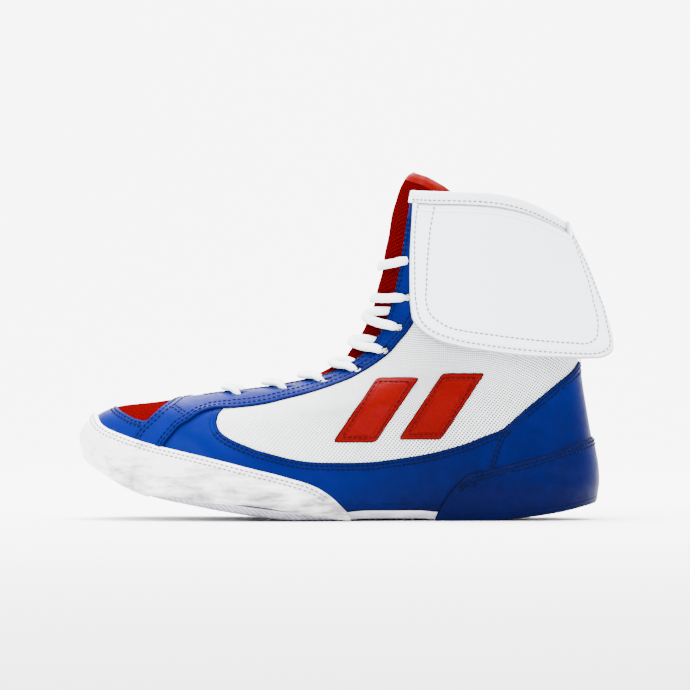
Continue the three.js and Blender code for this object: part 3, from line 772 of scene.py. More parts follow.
@cache
def mesh_cloth(name, tint, hole_shade, pitch, deep=0.35):
    """Open mesh: round holes where the product of two cosines is high, which sets them in diagonal
    rows, in a cloth that is a little uneven. The holes are painted shade, a dark colour that is faint
    at the front and full to the rear, and the cloth itself gets painted shade to the rear."""
    finish = Finish(name, 0.85, **{"Specular IOR Level": 0.0})
    across, up = finish.cloth()
    turn = TURN / (pitch * 2**0.5)
    wave = (across * turn).cos() * (up * turn).cos()
    x = finish.axes()[0]
    # Painted shade: the holes darken and the cloth dims towards the rear.
    rear = x.between(-0.07, 0.04)
    holes = wave.between(-0.1, 0.5) * (rear * 0.75 + 0.25)
    patches = finish.noise(30, 2)
    # Uneven cloth tone from the patches, and painted shade to the rear.
    shaded = finish.mix(patches.between(0.3, 0.8) * 0.25 + rear * 0.35, tint, darker(tint, 0.72))
    finish.bump(wave * -1, deep, 0.8)
    return finish.paint(finish.mix(holes, shaded, hole_shade))


@cache
def rubber(name, tint, soil, top, grooves=0.0):
    """Moulded rubber: scuffed along the ground, with soil that gathers low down, and painted shade in
    the tread's grooves.
    """
    finish = Finish(name)
    x, _, z = finish.axes()
    scuffs = finish.noise(7, 4, 0.65, finish.stretched(0.35, 1, 1.6))
    blots = finish.noise(18, 3)
    pits = finish.noise(1.6, 3)
    low = 1 - z.between(0.0, top * MM)
    dirt = (low * 1.0 + (scuffs - 0.5) * 2.6 + (blots - 0.5) * 1.8 - 0.05).between(0, 1)
    finish.join(finish.shader.inputs["Roughness"], 0.5 + dirt * 0.25)
    finish.bump(pits * 0.16 + scuffs * 0.25, 1.0, 0.55)
    worn = finish.mix(dirt * 0.9, tint, soil)
    # Painted shade in the grooves: on the sole the edge attribute holds the depth of the tread's
    # grooves.
    return finish.paint(finish.mix(finish.edge().between(0, 1) * grooves, worn, darker(soil, 0.35)))


@cache
def woven(name, tint, shade, pitch, deep=0.3):
    """Woven cloth or braid: ribs both ways along the cloth's own lengths, with painted shade between
    them.
    """
    finish = Finish(name, 0.85)
    finish.join(finish.shader.inputs["Sheen Weight"], 0.2)
    along, across = finish.cloth()
    ribs = ((along + across) * (TURN / pitch)).cos() + ((along - across) * (TURN / pitch)).cos()
    fuzz = finish.noise(1.2, 3)
    finish.bump(ribs * 0.3 + fuzz * 0.3, deep, 0.8)
    # Painted shade in the grooves between the ribs.
    return finish.paint(finish.mix((ribs * -0.2 + 0.35).between(0, 1) * 0.6, tint, shade))


@cache
def plain(name, tint, shade, rough=0.8, size=3.0):
    """A hidden lining or a thread: soft mottling and a fine fuzz."""
    finish = Finish(name, rough, **{"Specular IOR Level": 0.05})
    mottle = finish.noise(size, 3)
    finish.bump(mottle, 0.25, 0.6)
    return finish.paint(finish.mix(mottle.between(0.3, 0.7), tint, shade))


def length(name, description, default):
    return FloatProperty(name=name, description=description, default=default, unit="LENGTH")


class BootSizes(bpy.types.PropertyGroup):
    """Sizes of the boot's finish."""

    leather: length("Leather", "Thickness of the leather panels", 0.0009)
    crease: FloatProperty(name="Creases", description="Depth of the wear creases, as a share",
                          default=1.0, subtype="FACTOR")
    stitch: length("Stitch", "Length of a stitch", 0.0020)
    pitch: length("Stitch pitch", "Distance from stitch to stitch", 0.0028)
    thread: length("Thread", "Thickness of the thread", 0.0009)
    lace: length("Lace", "Width of the laces", 0.0052)
    mesh: length("Mesh", "Distance between the mesh's holes", 0.0015)
    tread: length("Tread", "Depth of the tread's grooves", 0.0008)


def tint_property(name, description, *rgb):
    return FloatVectorProperty(name=name, description=description, default=colour(*rgb), size=3,
                               subtype="COLOR", min=0, max=1)


class BootColours(bpy.types.PropertyGroup):
    """Colours of the boot's materials."""

    blue: tint_property("Blue", "Blue leather in the light", 0, 15, 88)
    # Painted shade: the blue leather darkens to this colour low down and to the rear. The insole cloth
    # is also this colour.
    navy: tint_property("Deep blue", "Blue leather low down and to the rear", 0, 3, 42)
    red: tint_property("Red", "Red leather and the tongue's edge", 100, 0, 1)
    red_mesh: tint_property("Red mesh", "Mesh of the toe and the tongue", 82, 0, 1)
    white: tint_property("White", "White leather of the cuff", 236, 241, 247)
    mesh: tint_property("White mesh", "Mesh of the sides", 238, 240, 243)
    rand: tint_property("Rand", "Rubber round the toe", 236, 234, 236)
    tread: tint_property("Tread", "Rubber of the sole", 186, 184, 200)
    soil: tint_property("Soil", "Soil on the rubber", 104, 98, 98)
    lace: tint_property("Laces", "Laces and binding tape", 240, 243, 248)
    lining: tint_property("Lining", "Cloth inside", 214, 220, 230)


def tint(name):
    """A colour as it is set."""
    return tuple(getattr(bpy.context.scene.boot_colours, name))


def size(name):
    """A length as it is set, in mm."""
    return getattr(bpy.context.scene.boot_sizes, name) / MM


def material(slot):
    """The finish of a material slot, as the sizes and colours are set."""
    makers = {
        # Each leather's second tint is its painted shade, low down and to the rear.
        "blue_leather": lambda: leather(slot, tint("blue"), tint("navy")),
        "red_leather": lambda: leather(slot, tint("red"), darker(tint("red"), 0.55), 0.38),
        "white_leather": lambda: leather(slot, tint("white"), darker(tint("white"), 0.88), 0.5, 0.8,
                                         0.3),
        # Each mesh's third value is the colour of the painted shade in its holes.
        "white_mesh": lambda: mesh_cloth(slot, tint("mesh"), colour(44, 48, 60), size("mesh")),
        "red_mesh": lambda: mesh_cloth(slot, tint("red_mesh"), darker(tint("red_mesh"), 0.25),
                                       size("mesh"), 0.5),
        "rand_rubber": lambda: rubber(slot, tint("rand"), tint("soil"), 34),
        # The tread has no soil colour of its own: a darker copy of its tint darkens the sole towards
        # its bottom, and its grooves get painted shade at 0.75 strength.
        "tread_rubber": lambda: rubber(slot, tint("tread"), darker(tint("tread"), 0.45), 7, 0.75),
        "white_tape": lambda: woven(slot, tint("lace"), darker(tint("lace"), 0.72), 1.6),
        "lace_cord": lambda: woven(slot, tint("lace"), darker(tint("lace"), 0.6), 1.8, deep=0.45),
        "lining": lambda: plain(slot, tint("lining"), darker(tint("lining"), 0.85)),
        "insole_cloth": lambda: plain(slot, tint("navy"), darker(tint("navy"), 0.6)),
        "navy_thread": lambda: plain(slot, colour(0, 1, 16), colour(0, 3, 30), 0.7, 1.0),
        "grey_thread": lambda: plain(slot, colour(84, 88, 104), colour(124, 128, 142), 0.7, 1.0),
        "red_thread": lambda: plain(slot, colour(40, 0, 2), colour(60, 0, 4), 0.7, 1.0),
    }
    return makers[slot]()


def form(name):
    """The last's grid, a coarser one for the body under the panels, or the cuff's."""
    grids = {"last": (600, 1.4), "body": (320, 2.4)}
    if name == "cuff":
        return cuff_form()
    return last_form(*grids[name], bpy.context.scene.boot_sizes.crease)


def outline(*lines):
    return np.concatenate([np.asarray(line, float) for line in lines])


BAND = outline(BAND_REAR, [(-230, 220), (-230, 30)])
TOE = outline(BAND_FRONT, [(-230, 28), (-230, 100), (-84, 100)])
WINDOW = outline(WINDOW_FRONT, WINDOW_REAR, [(-88, 100), (-126, 100)])
MESH = outline(MESH_LOWER, [(200, 104), (200, 260), (-64, 260), (-64, 62), (-66.5, 59)])
HEEL = outline([(94, 120)], HEEL_FRONT, [(200, 18), (200, 120)])
RAND_WHOLE = outline([(-200, 61)], RAND_TOP, RAND_FOOT, [(-104.6, 0), (-200, 0)])
WRAP_WHOLE = outline(WRAP_TOP, [(200, 66), (200, -20), (53, -20)])
SIDE_PANEL = (-108, 97)  # x of its ends, under the toe cap and under the heel panel
SEWN = 0.1  # lift of the leather panels' top
OVER = 0.5  # lift of the panels that lie over others
HEEL_OVER = OVER - 0.1
TUCK = 4  # how far a panel runs on under the one that lies over it


def loose_edge(f):
    """How far the band stands off the side panel along its rear edge over the toes, in mm: a bell
    curve of the distance from the edge, fading out to the rear and towards the rand."""
    band = f.even(inside(BAND, f.x, f.z))
    fade = np.clip((-58 - f.x) / 12, 0, 1) * np.clip((f.z - 36) / 8, 0, 1)
    return 1.5 * fade * np.exp(-((np.maximum(band, 0) / 4.5) ** 2))


class BOOT_OT_upper(bpy.types.Operator):
    """The upper's mesh body with its lining, and the red mesh over the toes."""

    bl_idname = "boot.upper"
    bl_label = "Mesh upper"
    bl_options = {"REGISTER", "UNDO"}

    def execute(self, context):
        f = form("body")
        body = np.minimum.reduce([throat_distance(f), f.height(FEATHER), -f.height(COLLAR)])
        shell = panel("upper_mesh", f, body, -WALL, SEWN - size("leather"),
                      [material("white_mesh"), material("lining")], 0.8)
        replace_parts(shell, "upper")
        f = form("last")
        window = f.even(inside(WINDOW, f.x, f.z)) + 3
        half_width = 40
        panel("toe_mesh", f, np.minimum(window, half_width - abs(f.base[..., 1])),
              SEWN - size("leather") - 0.05, SEWN - 0.4, [material("red_mesh")], 0.8)
        return {"FINISHED"}


class BOOT_OT_leather(bpy.types.Operator):
    """The blue leather panels: toe cap, side, band with the eyelet rows, and heel."""

    bl_idname = "boot.leather"
    bl_label = "Leather panels"
    bl_options = {"REGISTER", "UNDO"}

    def execute(self, context):
        f = form("last")
        base = SEWN - size("leather")
        low, high = f.height(FEATHER), -f.height(COLLAR)
        band = f.even(inside(BAND, f.x, f.z))
        toe = f.even(inside(TOE, f.x, f.z))
        window = f.even(inside(WINDOW, f.x, f.z))
        mesh = f.even(inside(MESH, f.x, f.z))
        heel = f.even(inside(HEEL, f.x, f.z))
        throat = throat_distance(f)
        least = np.minimum.reduce
        blue = [material("blue_leather"), material("lining")]
        panel("toe_cap", f, least([toe + TUCK, -window, low]), base, SEWN, blue)
        side = least([TUCK - band, -mesh, low, SIDE_PANEL[1] - f.x, f.x - SIDE_PANEL[0]])
        panel("side_panel", f, side, base, SEWN, blue)
        panel("heel_panel", f, least([-mesh, heel, low]), base, HEEL_OVER, blue)
        field = least([band, -toe, throat, low, high, eyelet_distance(f)])
        loose = loose_edge(f)
        swell = 1 - 0.5 * (1 - np.clip(field / 1.3, 0, 1)) ** 2
        top = f.at(base + (OVER - base) * swell + loose)
        panel("eyelet_band", f, field, base, OVER, blue, top=top,
              bottom=f.at(base + loose))
        return {"FINISHED"}


class BOOT_OT_bars(bpy.types.Operator):
    """Two slanted red leather bars on the mesh of each side."""

    bl_idname = "boot.bars"
    bl_label = "Side bars"
    bl_options = {"REGISTER", "UNDO"}

    def execute(self, context):
        f = form("last")
        for number, bar in enumerate(BARS, 1):
            flat = f.even(inside(rounded(bar), f.x, f.z))
            for side, name in ((-1, "outer"), (1, "inner")):
                field = np.minimum(flat, side * f.base[..., 1] - 5)
                panel(f"bar_{name}_{number}", f, field, SEWN - size("leather"), 0.35,
                      [material("red_leather")])
        return {"FINISHED"}


class BOOT_OT_rand(bpy.types.Operator):
    """The rubber rand round the toe and the leather wrap round the heel."""

    bl_idname = "boot.rand"
    bl_label = "Rand and heel wrap"
    bl_options = {"REGISTER", "UNDO"}

    def execute(self, context):
        f = form("last")
        clear = f.z - GROUND(f.x) - GAP
        field = np.minimum(f.even(inside(RAND_WHOLE, f.x, f.z)), np.where(f.x < -100, clear, FAR))
        rand = panel("rand", f, field, 0.15, GAP + RAND, [material("rand_rubber")],
                     1.8)
        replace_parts(rand, "toe_rand")
        field = np.minimum(f.even(inside(WRAP_WHOLE, f.x, f.z)), clear)
        wrap = panel("wrap", f, field, 0.1, GAP + WRAP, [material("blue_leather")])
        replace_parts(wrap, "heel_wrap")
        return {"FINISHED"}


SOLE_EDGE = curve([(0, 6), (0.14, 2.4), (0.4, 0.8), (0.75, 0.2), (1, 0.2)])  # inset, by height
SOLE_HEIGHTS = np.concatenate([np.linspace(1, 0.3, 8), np.linspace(0.25, 0, 7)])
RIB_PITCH, TOOTH_PITCH = 3.3, 3.0
ZIGZAG, ZIGZAG_PITCH = 4.2, 7.0
WAIST = (-2, 60)  # x between which the underside is bare


def sole_rings():
    """Rings of the sole: two over its top, then down the side, each set in from the feather line by
    the edge's curve, and then in to the middle line underneath. With them go the middle line's mean
    and the place of the side's last ring."""
    u = np.linspace(0, TURN, 900, endpoint=False)
    shares = SOLE_HEIGHTS[:, None]
    wall = skin(u[None, :], shares * SOLE / (SOLE + GAP), -SOLE_EDGE(shares) + 0 * u)
    wall[..., 2] = GROUND(wall[..., 0]) + shares * SOLE
    middle = (wall + np.roll(wall[:, ::-1], 1, axis=1)) / 2
    out = 1 - np.linspace(0, 1, 54)[1:, None, None]
    under = wall[-1] * out + middle[-1] * (1 - out)
    out = np.array([0, 0.5])[:, None, None]
    roof = wall[:1] * out + middle[:1] * (1 - out)
    return np.concatenate([roof, wall, under]), middle.mean(axis=0), len(roof) + len(wall) - 1


def tread(grid, rim, high):
    """How deep the tread lies, as a share of its full depth: half of 1 + cos of x plus a triangle
    wave of the length across, and plain teeth along the edge of the bare waist."""
    step = np.linalg.norm(np.diff(grid, axis=0), axis=-1)
    down = np.concatenate([np.zeros((1, grid.shape[1])), np.cumsum(step, axis=0)])
    across = down - down[rim]
    x = grid[..., 0]
    zigzag = ZIGZAG * abs((across / ZIGZAG_PITCH + 0.25) % 1 - 0.5) * 2
    ribs = 0.5 + 0.5 * np.cos(TURN * (x + zigzag) / RIB_PITCH)
    teeth = 0.5 + 0.5 * np.cos(TURN * x / TOOTH_PITCH)
    bare = np.clip((x - WAIST[0]) / 5, 0, 1) * np.clip((WAIST[1] - x) / 5, 0, 1)
    sunk = np.where(np.arange(len(grid))[:, None] > 3, ribs * (1 - bare), 0)
    sunk = sunk * np.where(x > 20, np.clip(1.4 - 3 * high, 0, 1), 1)
    return sunk + bare * teeth * np.clip(1 - 3.4 * high, 0, 1) * (across > -6)


class BOOT_OT_sole(bpy.types.Operator):
    """The outsole with its herringbone tread, and the insole's cloth."""

    bl_idname = "boot.sole"
    bl_label = "Sole"
    bl_options = {"REGISTER", "UNDO"}

    def execute(self, context):
        grid, middle, rim = sole_rings()
        high = np.clip((grid[..., 2] - GROUND(grid[..., 0])) / SOLE, 0, 1)
        sunk = tread(grid, rim, high)
        inwards = unit(middle[None] - grid) * np.array([1, 1, 0])
        lower = np.clip(1 - high * 1.2, 0, 1)[..., None]
        push = inwards * (1 - lower) + np.array([0, 0, 1.0]) * lower
        push[[0, -1]] = 0
        grid = grid + push * (sunk * size("tread"))[..., None]
        # The groove depth goes in as the edge attribute, for the painted shade in the grooves.
        sole = zipped("sole", grid, [material("tread_rubber")], edge=sunk)
        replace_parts(sole, "outsole")
        for place in bpy.data.objects["insole"].material_slots:
            place.material = material("insole_cloth")
        return {"FINISHED"}


TONGUE_START = 7.1
TONGUE_HALF = curve([(TONGUE_START, 0.3), (8, 0.42), (10, 0.62), (12, 0.95), (COLLAR, 1.2),
                     (COLLAR + 1, 1.2)], level=True)
TONGUE_TIP = curve([(0, COLLAR + 0.78), (0.4, COLLAR + 0.68), (0.75, COLLAR + 0.35),
                    (1, COLLAR - 0.1)], level=True)
TONGUE_RISE = curve([(THROAT_START, -WALL - GAP), (8, -0.8), (9, -0.3), (10.5, 0.5),
                     (12, TONGUE_BULGE), (COLLAR + 1, TONGUE_BULGE)], level=True)
TONGUE_SINK = curve([(0, 0), (13.8, 0), (15.1, BINDING + 2 * GAP), (COLLAR + 1, BINDING + 2 * GAP)],
                    level=True)
TONGUE_FILL = curve([(0, 0), (0.03, 0.8), (0.08, 1), (0.93, 1), (0.98, 0.75), (1, 0)], level=True)
TONGUE_EDGE = 0.962  # where its bound top starts, as a share of its length
TONGUE_FREE = 0.92  # of the throat's width, in which it rises from under the wall


class BOOT_OT_tongue(bpy.types.Operator):
    """The padded tongue of red mesh, with its bound edge."""

    bl_idname = "boot.tongue"
    bl_label = "Tongue"
    bl_options = {"REGISTER", "UNDO"}

    def execute(self, context):
        """Each ring lies at one place along the tongue, its front face from edge to edge and back
        along its rear face. Its padding thins to the edges with (1 - s^6)^0.5, and its middle
        stands out through the throat with (1 - (u / throat)^2)^2."""
        half = 44
        along = np.unique(np.concatenate([
            np.linspace(0, 0.08, 8), np.linspace(0.08, 0.93, 120), np.linspace(0.93, 1, 16),
            [TONGUE_EDGE - 0.001, TONGUE_EDGE + 0.001]]))[:, None]
        i = np.arange(2 * half)[None, :]
        front = i < half
        share = np.where(front, 1 - 2 * i / half, 2 * i / half - 3)
        k = TONGUE_START + along * (TONGUE_TIP(abs(share)) - TONGUE_START)
        u = -share * TONGUE_HALF(k)
        middle = np.clip(1 - (u / (TONGUE_FREE * throat_angle(k))) ** 2, 0, 1) ** 2
        padding = np.sqrt(1 - share**6) * TONGUE_FILL(along) * np.where(front, 0.5, -0.5)
        sunk = WALL + 2 * GAP + TONGUE_SINK(k)
        rise = TONGUE_RISE(np.maximum(k, THROAT_START))
        bound = (along > TONGUE_EDGE) * TONGUE_FILL(along)
        quilt = 0.25 * np.sin(along * 60) * (along < 0.9) * middle
        lift = padding * (TONGUE + 0.7 * bound) - sunk - TONGUE / 2 + middle * (sunk + rise) + quilt
        lift = lift - 4.0 * np.clip((along - 0.82) / 0.18, 0, 1) ** 2 * middle
        grid = skin(u, k, lift)
        step = np.linalg.norm(np.roll(grid, -1, 1) - grid, axis=-1)
        climb = np.linalg.norm(np.diff(grid, axis=0), axis=-1)
        cloth = np.stack([np.cumsum(step, axis=1),
                          np.concatenate([np.zeros((1, 2 * half)), np.cumsum(climb, axis=0)])], -1)
        under = (along[:-1, 0] >= TONGUE_EDGE).astype(int)
        tongue = zipped("tongue_pad", grid, [material("red_mesh"), material("red_leather")],
                        cloth, under, np.full(grid.shape[:2], 9.0))
        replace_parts(tongue, "tongue")
        return {"FINISHED"}


class BOOT_OT_binding(bpy.types.Operator):
    """The tape folded over the collar's edge."""

    bl_idname = "boot.binding"
    bl_label = "Collar binding"
    bl_options = {"REGISTER", "UNDO"}

    def execute(self, context):
        """A hooked profile of lifts and heights, carried round the collar's ring."""
        profile = np.array([
            (0.3, -5.9), (0.8, -6.1), (1.2, -5.9), (1.3, -5.4), (1.3, -0.4), (1.25, 0.5), (0.9, 1.05),
            (0.3, 1.3), (-0.7, 1.35), (-1.7, 1.35), (-2.6, 1.25), (-3.1, 0.85), (-3.3, 0.3),
            (-3.3, -5.4), (-3.2, -5.9), (-2.8, -6.1), (-2.3, -5.9), (-2.3, 0.1), (0.3, 0.1)])
        start = throat_angle(COLLAR) + 0.03
        u = np.linspace(start, TURN - start, 260)[:, None]
        lift, height = profile.T[:, None, :]
        pace = np.linalg.norm(last(u, COLLAR) - last(u, COLLAR - 1), axis=-1)
        pucker = 0.12 * np.sin(u * 70) * (lift > 0)
        rings = skin(u, COLLAR + np.minimum(height, 0) / pace, lift + pucker)
        rings = rings + up_along(u, COLLAR) * np.maximum(height, 0)[..., None]
        way = np.cumsum(np.linalg.norm(np.gradient(rings[:, 4], axis=0), axis=-1))
        span = np.cumsum(np.hypot(*np.diff(profile, axis=0, prepend=profile[:1]).T))
        cloth = np.stack(np.broadcast_arrays(way[:, None], span[None, :]), -1).reshape(-1, 2)
        tape = sweep("collar_tape", rings, [material("white_tape")], cloth)
        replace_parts(tape, "collar_binding")
        return {"FINISHED"}


class BOOT_OT_cuffs(bpy.types.Operator):
    """The two halves of the shaft's turned-down leather cuff."""

    bl_idname = "boot.cuffs"
    bl_label = "Cuffs"
    bl_options = {"REGISTER", "UNDO"}

    def execute(self, context):
        f = form("cuff")
        u = np.linspace(0.7, 2.95, 80)
        top = last(u, COLLAR) - up_along(u, COLLAR) * (BINDING_DEPTH + 2 * GAP)
        whole = f.even(inside(outline(CUFF_EDGE, top[::-1, [0, 2]]), f.x, f.z))
        white = [material("white_leather"), material("lining")]
        for side, name in ((-1, "outer"), (1, "inner")):
            field = np.minimum(whole, side * f.base[..., 1] - 4)
            cuff = panel(f"cuff_{name}", f, field, 0.0, CUFF, white, 1.8)
            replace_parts(cuff, f"cuff_{name}_side")
        return {"FINISHED"}


DIVE = 6.5  # below the next eyelet, where a lace goes under the throat's edge
PAST_EDGE = 1.16  # its end there, as a share of the throat's angle
LACE_LIFT = 2.6  # of its middle line over the last
EYELET_DEPTH, UNDER_EDGE = 5.6, 6.0  # how far its ends sink


def lace_run(start, end, from_angle, to_angle, over, both, droop=0.0):
    """A lace's middle line, straight in angle and height over the last, less a droop that goes with
    a sine. It rises over the tongue with 1 - u^2, passes over or under its fellow by a bell curve,
    and its ends sink: a quarter sine into an eyelet, a power of 1.5 under the throat's edge."""
    s = np.linspace(0, 1, 60)
    k = start + (end - start) * s - droop * np.sin(np.pi * s)
    u = from_angle + (to_angle - from_angle) * s
    edge = u / throat_angle(k)
    pad = np.clip(1 - edge**2, 0, 1) * np.maximum(TONGUE_RISE(k), 0)
    lift = LACE_LIFT + pad + (0.66 if over else -0.66) * np.exp(-((edge / 0.3) ** 2))
    for way in (s, 1 - s)[: 1 + both]:
        lift = lift - EYELET_DEPTH * (1 - np.sin(np.clip(way / 0.12, 0, 1) * np.pi / 2))
    if not both:
        lift = lift - UNDER_EDGE * np.clip((s - 0.80) / 0.20, 0, 1) ** 1.5
    return skin(u, k, lift), normal(u, k)


def lace_cord(name, points, out):
    """A lace: a flat oval section carried along its middle line. The section narrows over the last
    9 mm with (1 - s)^2, and its ends are round: (1 - s^2)^0.5 of it over the last 1.5 mm."""
    ahead = unit(np.gradient(points, axis=0))
    side = unit(np.cross(ahead, out))
    out = np.cross(side, ahead)
    way = way_along(points)
    near = np.minimum(way, way[-1] - way)
    drawn = np.sqrt(1 - np.clip(1 - near / 1.5, 0, 0.97) ** 2)
    drawn = (drawn * (1 - 0.5 * np.clip(1 - near / 9, 0, 1) ** 2))[:, None, None]
    angle = np.linspace(0, TURN, 16, endpoint=False)
    wide, thick = size("lace") / 2, size("lace") * 0.27
    flat = np.sign(np.cos(angle)) * abs(np.cos(angle)) ** 0.8 * wide
    section = flat[:, None] * side[:, None] + (np.sin(angle) * thick)[:, None] * out[:, None]
    rings = points[:, None] + drawn * section
    around = angle * (wide + thick) / 2
    cloth = np.stack(np.broadcast_arrays(way[:, None], around[None, :]), -1).reshape(-1, 2)
    return sweep(name, rings, [material("lace_cord")], cloth)


class BOOT_OT_laces(bpy.types.Operator):
    """The laces, out of each eyelet, over the tongue and under the throat's far edge."""

    bl_idname = "boot.laces"
    bl_label = "Laces"
    bl_options = {"REGISTER", "UNDO"}

    def execute(self, context):
        for i, (start, following) in enumerate(zip(EYELETS[:6], EYELETS[1:])):
            pace = np.linalg.norm(last(0.0, following + 0.5) - last(0.0, following - 0.5))
            end = following - DIVE / pace
            for side, name in ((1, "outer"), (-1, "inner")):
                run = lace_run(start, end, side * throat_angle(start, EYELET_MARGINS[i]),
                               -side * PAST_EDGE * throat_angle(end), side > 0, False)
                lace = lace_cord(f"lace_{name}_{i + 1}", *run)
                if side > 0:
                    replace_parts(lace, f"lace_cross_{i + 1}")
        for i, reach, droop in ((6, EYELET_MARGINS[6], 0.05), (7, 7.5, 0.22)):
            k = EYELETS[i]
            angle = throat_angle(k, reach)
            run = lace_run(k, k, angle, -angle, False, True, droop)
            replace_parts(lace_cord(f"lace_top_{i + 1}", *run), f"lace_bar_{i + 1}")
        return {"FINISHED"}


def seam(f, path, lift):
    """Places, directions and normals of stitches along a path of rows and columns of a form, and
    along the same path on the other side."""
    found = []
    for side in (1, -1):
        row, column = path[:, 0], side * path[:, 1]
        places = f.sample(row, column, f.base)
        way = way_along(places)
        count = max(2, int(way[-1] / size("pitch")))
        at = (np.arange(count) + 0.5) * way[-1] / count
        half = size("stitch") / 2

        def point(way_at):
            r, c = np.interp(way_at, way, row), np.interp(way_at, way, column)
            out = unit(f.sample(r, c, f.out))
            raised = f.sample(r, c, f.crease + lift)
            return f.sample(r, c, f.base) + out * raised[:, None], out

        centre, out = point(at)
        found.append((centre, unit(point(at + half)[0] - point(at - half)[0]), out))
    return [np.concatenate(parts) for parts in zip(*found)]


def stitches(name, seams, slot):
    """One mesh of small round-ended stitches: a six-sided section along a low arch, 1 - t^2 high,
    drawn in at its ends."""
    centre, ahead, out = (np.concatenate(parts) for parts in zip(*seams))
    side = unit(np.cross(ahead, out))
    t = np.array([-1, -0.75, 0, 0.75, 1])[:, None]
    radius = size("thread") / 2 * np.array([0.35, 0.85, 1, 0.85, 0.35])[:, None]
    angle = np.linspace(0, TURN, 6, endpoint=False)[None, :]
    along = np.broadcast_to(t * size("stitch") / 2, (5, 6)).ravel()
    wide = (radius * np.cos(angle)).ravel()
    tall = (radius * np.sin(angle) * 0.7 + 0.12 * (1 - t**2)).ravel()
    points = centre[:, None] + (along[:, None] * ahead[:, None] + wide[:, None] * side[:, None]
                                + tall[:, None] * out[:, None])
    index = np.arange(30).reshape(5, 6)
    caps = np.stack([index[0], index[-1, ::-1]])
    start = 30 * np.arange(len(centre))[:, None, None]
    faces = [(start + ring_quads(index)).reshape(-1, 4), (start + caps).reshape(-1, 6)]
    return piece(name, points.reshape(-1, 3), faces, [material(slot)])


class BOOT_OT_stitching(bpy.types.Operator):
    """All the rows of stitches."""

    bl_idname = "boot.stitching"
    bl_label = "Stitching"
    bl_options = {"REGISTER", "UNDO"}

    def execute(self, context):
        f, cuff = form("last"), form("cuff")
        blue = []
        # A line without the ends that other panels cover, its rows' distances from it, and a lift
        rows = (
            (WINDOW_FRONT[2:], (-1.6, -3.6), SEWN),
            (BAND_FRONT[:-6], (1.6, 3.6), OVER),
            (BAND_REAR[6:-44], (1.4, 3.4), OVER + loose_edge(f)),
            (MESH_LOWER[3:-15], (-1.6, -3.6), SEWN),
            (HEEL_FRONT[3:-4], (1.6, 3.6), HEEL_OVER),
            (MESH_LOWER[-42:-9], (-1.6, -3.6), HEEL_OVER),
            (WRAP_TOP[14:], (-1.7, -3.7), GAP + WRAP),
            (dense([(-91.5, 63), (-82.5, 57.5)]), (0.9, -0.9), OVER),  # backtack on the band
            (dense([(66, 20), (76, 20)]), (0.8, -0.8), GAP + WRAP),  # backtack on the wrap
        )
        for line, distances, lift in rows:
            for distance in distances:
                blue.append(seam(f, f.find(beside(line, distance)), lift))
        k = np.linspace(7.75, 15.4, 240)
        for distance in (1.8, 3.8):
            column = throat_angle(k, distance) / TURN * f.base.shape[1]
            blue.append(seam(f, np.column_stack([f.row(k), column]), OVER))
        stitches("stitches_blue", blue, "navy_thread")

        pale = []
        for distance in (-1.5, -3.5):
            pale.append(seam(f, f.find(beside(RAND_TOP, distance)[1:-12]), GAP + RAND - 0.1))
        for line in CUFF_ROWS:
            pale.append(seam(cuff, cuff.find(stroke(line)), CUFF))
        start = throat_angle(COLLAR) + 0.1
        u = np.linspace(start, np.pi, 200)
        pace = np.linalg.norm(last(u, COLLAR) - last(u, COLLAR - 1), axis=-1)
        path = np.column_stack([f.row(COLLAR - 4.2 / pace), u / TURN * f.base.shape[1]])
        pale.append(seam(f, path, GAP + BINDING))
        stitches("stitches_pale", pale, "grey_thread")

        red = []
        for bar in BARS:
            middle = np.mean(bar, axis=0)
            inner = rounded(middle + (np.array(bar) - middle) * np.array([0.80, 0.86]), 1.0)
            red.append(seam(f, f.find(dense(np.concatenate([inner, inner[:1]]))), 0.35))
        stitches("stitches_red", red, "red_thread")
        return {"FINISHED"}


CAMERA_PLACE = (0.00007, -3.0, 0.09667)
VIEW_WIDTH = 0.38336  # m across the picture at the boot
SENSOR = 36


def light(name, place, degrees, wide, power):
    """A round soft light, its size in m and its power in W."""
    lamp = bpy.data.lights.new(name, "AREA")
    lamp.shape, lamp.size, lamp.energy = "DISK", wide, power
    thing = bpy.data.objects.new(name, lamp)
    thing.location = place
    thing.rotation_euler = np.radians(degrees)
    bpy.context.scene.collection.objects.link(thing)


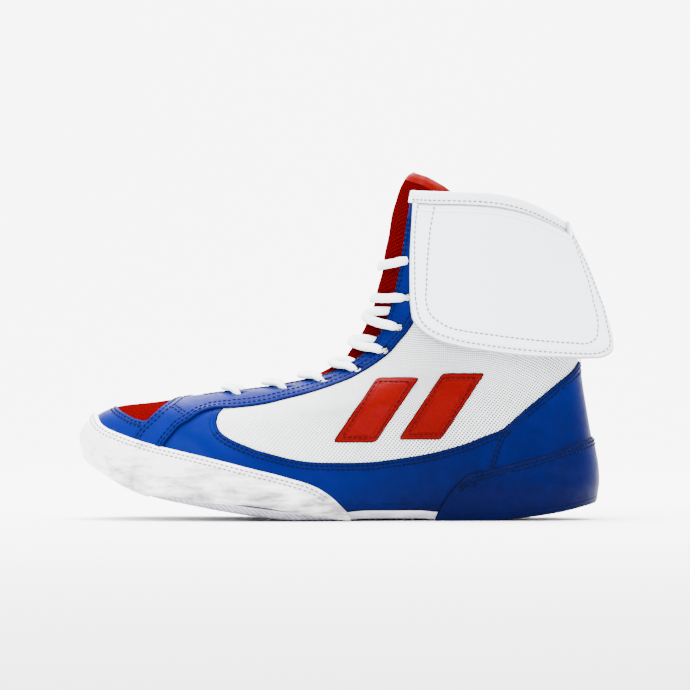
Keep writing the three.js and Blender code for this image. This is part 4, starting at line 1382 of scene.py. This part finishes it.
class BOOT_OT_stage(bpy.types.Operator):
    """The pale floor, soft lights and the camera."""

    bl_idname = "boot.stage"
    bl_label = "Stage"
    bl_options = {"REGISTER", "UNDO"}

    def execute(self, context):
        """The floor runs back flat and bends up in a quarter round."""
        angle = np.linspace(0, np.pi / 2, 24)
        y = np.concatenate([[-3.5, 1.6], 1.6 + 1.2 * np.sin(angle), [2.8]])
        z = np.concatenate([[0, 0], 1.2 - 1.2 * np.cos(angle), [5]])
        across = np.array([-5.0, 5.0])
        grid = np.stack([np.tile(across, (len(y), 1)), np.tile(y[:, None], 2),
                         np.tile(z[:, None], 2)], -1).reshape(-1, 3)
        index = np.arange(len(y) * 2).reshape(-1, 2)
        faces = np.column_stack([index[:-1, 0], index[:-1, 1], index[1:, 1], index[1:, 0]])
        mesh = bpy.data.meshes.new("floor")
        mesh.from_pydata(grid.tolist(), [], faces.tolist())
        mesh.polygons.foreach_set("use_smooth", np.ones(len(faces), bool))
        mesh.materials.append(Finish("floor", 0.9).paint((0.92, 0.92, 0.92)))
        floor = bpy.data.objects.new("floor", mesh)
        bpy.context.scene.collection.objects.link(floor)
        world = bpy.data.worlds.new("studio")
        world.use_nodes = True
        background = world.node_tree.nodes["Background"]
        background.inputs["Color"].default_value = (1, 1, 1, 1)
        background.inputs["Strength"].default_value = 1.3
        bpy.context.scene.world = world
        light("key", (-0.9, -1.5, 1.6), (48, 0, -31), 1.6, 105)
        light("fill", (1.5, -1.2, 0.9), (68, 0, 51), 1.6, 22)
        light("top", (0.0, 0.2, 1.9), (0, 0, 0), 1.4, 60)
        light("back", (0.0, 0.6, 2.6), (50, 0, 0), 3.0, 520)
        lens = bpy.data.cameras.new("camera")
        lens.sensor_width = SENSOR
        lens.lens = SENSOR * -CAMERA_PLACE[1] / VIEW_WIDTH
        lens.clip_end = 50
        camera = bpy.data.objects.new("camera", lens)
        camera.location = CAMERA_PLACE
        camera.rotation_euler = (np.pi / 2, 0, 0)
        bpy.context.scene.collection.objects.link(camera)
        bpy.context.scene.camera = camera
        return {"FINISHED"}



OPERATORS = (
    BOOT_OT_upper, BOOT_OT_leather, BOOT_OT_bars, BOOT_OT_rand, BOOT_OT_sole, BOOT_OT_tongue,
    BOOT_OT_binding, BOOT_OT_cuffs, BOOT_OT_laces, BOOT_OT_stitching, BOOT_OT_stage,
)


class BOOT_PT_pieces(bpy.types.Panel):
    """The boot's sizes, colours and pieces."""

    bl_idname = "BOOT_PT_pieces"
    bl_label = "Boxing boot"
    bl_space_type = "VIEW_3D"
    bl_region_type = "UI"
    bl_category = "Boot"

    def draw(self, context):
        layout = self.layout
        for group in (context.scene.boot_sizes, context.scene.boot_colours):
            for name in group.__annotations__:
                layout.prop(group, name)
        for operator in OPERATORS:
            layout.operator(operator.bl_idname)


CLASSES = (BootSizes, BootColours, *OPERATORS, BOOT_PT_pieces)


def register():
    for each in CLASSES:
        bpy.utils.register_class(each)
    bpy.types.Scene.boot_sizes = bpy.props.PointerProperty(type=BootSizes)
    bpy.types.Scene.boot_colours = bpy.props.PointerProperty(type=BootColours)


def unregister():
    del bpy.types.Scene.boot_sizes, bpy.types.Scene.boot_colours
    for each in reversed(CLASSES):
        bpy.utils.unregister_class(each)


def main():
    register()
    for operator in OPERATORS:
        group, name = operator.bl_idname.split(".")
        getattr(getattr(bpy.ops, group), name)()


if __name__ == "__main__":
    main()
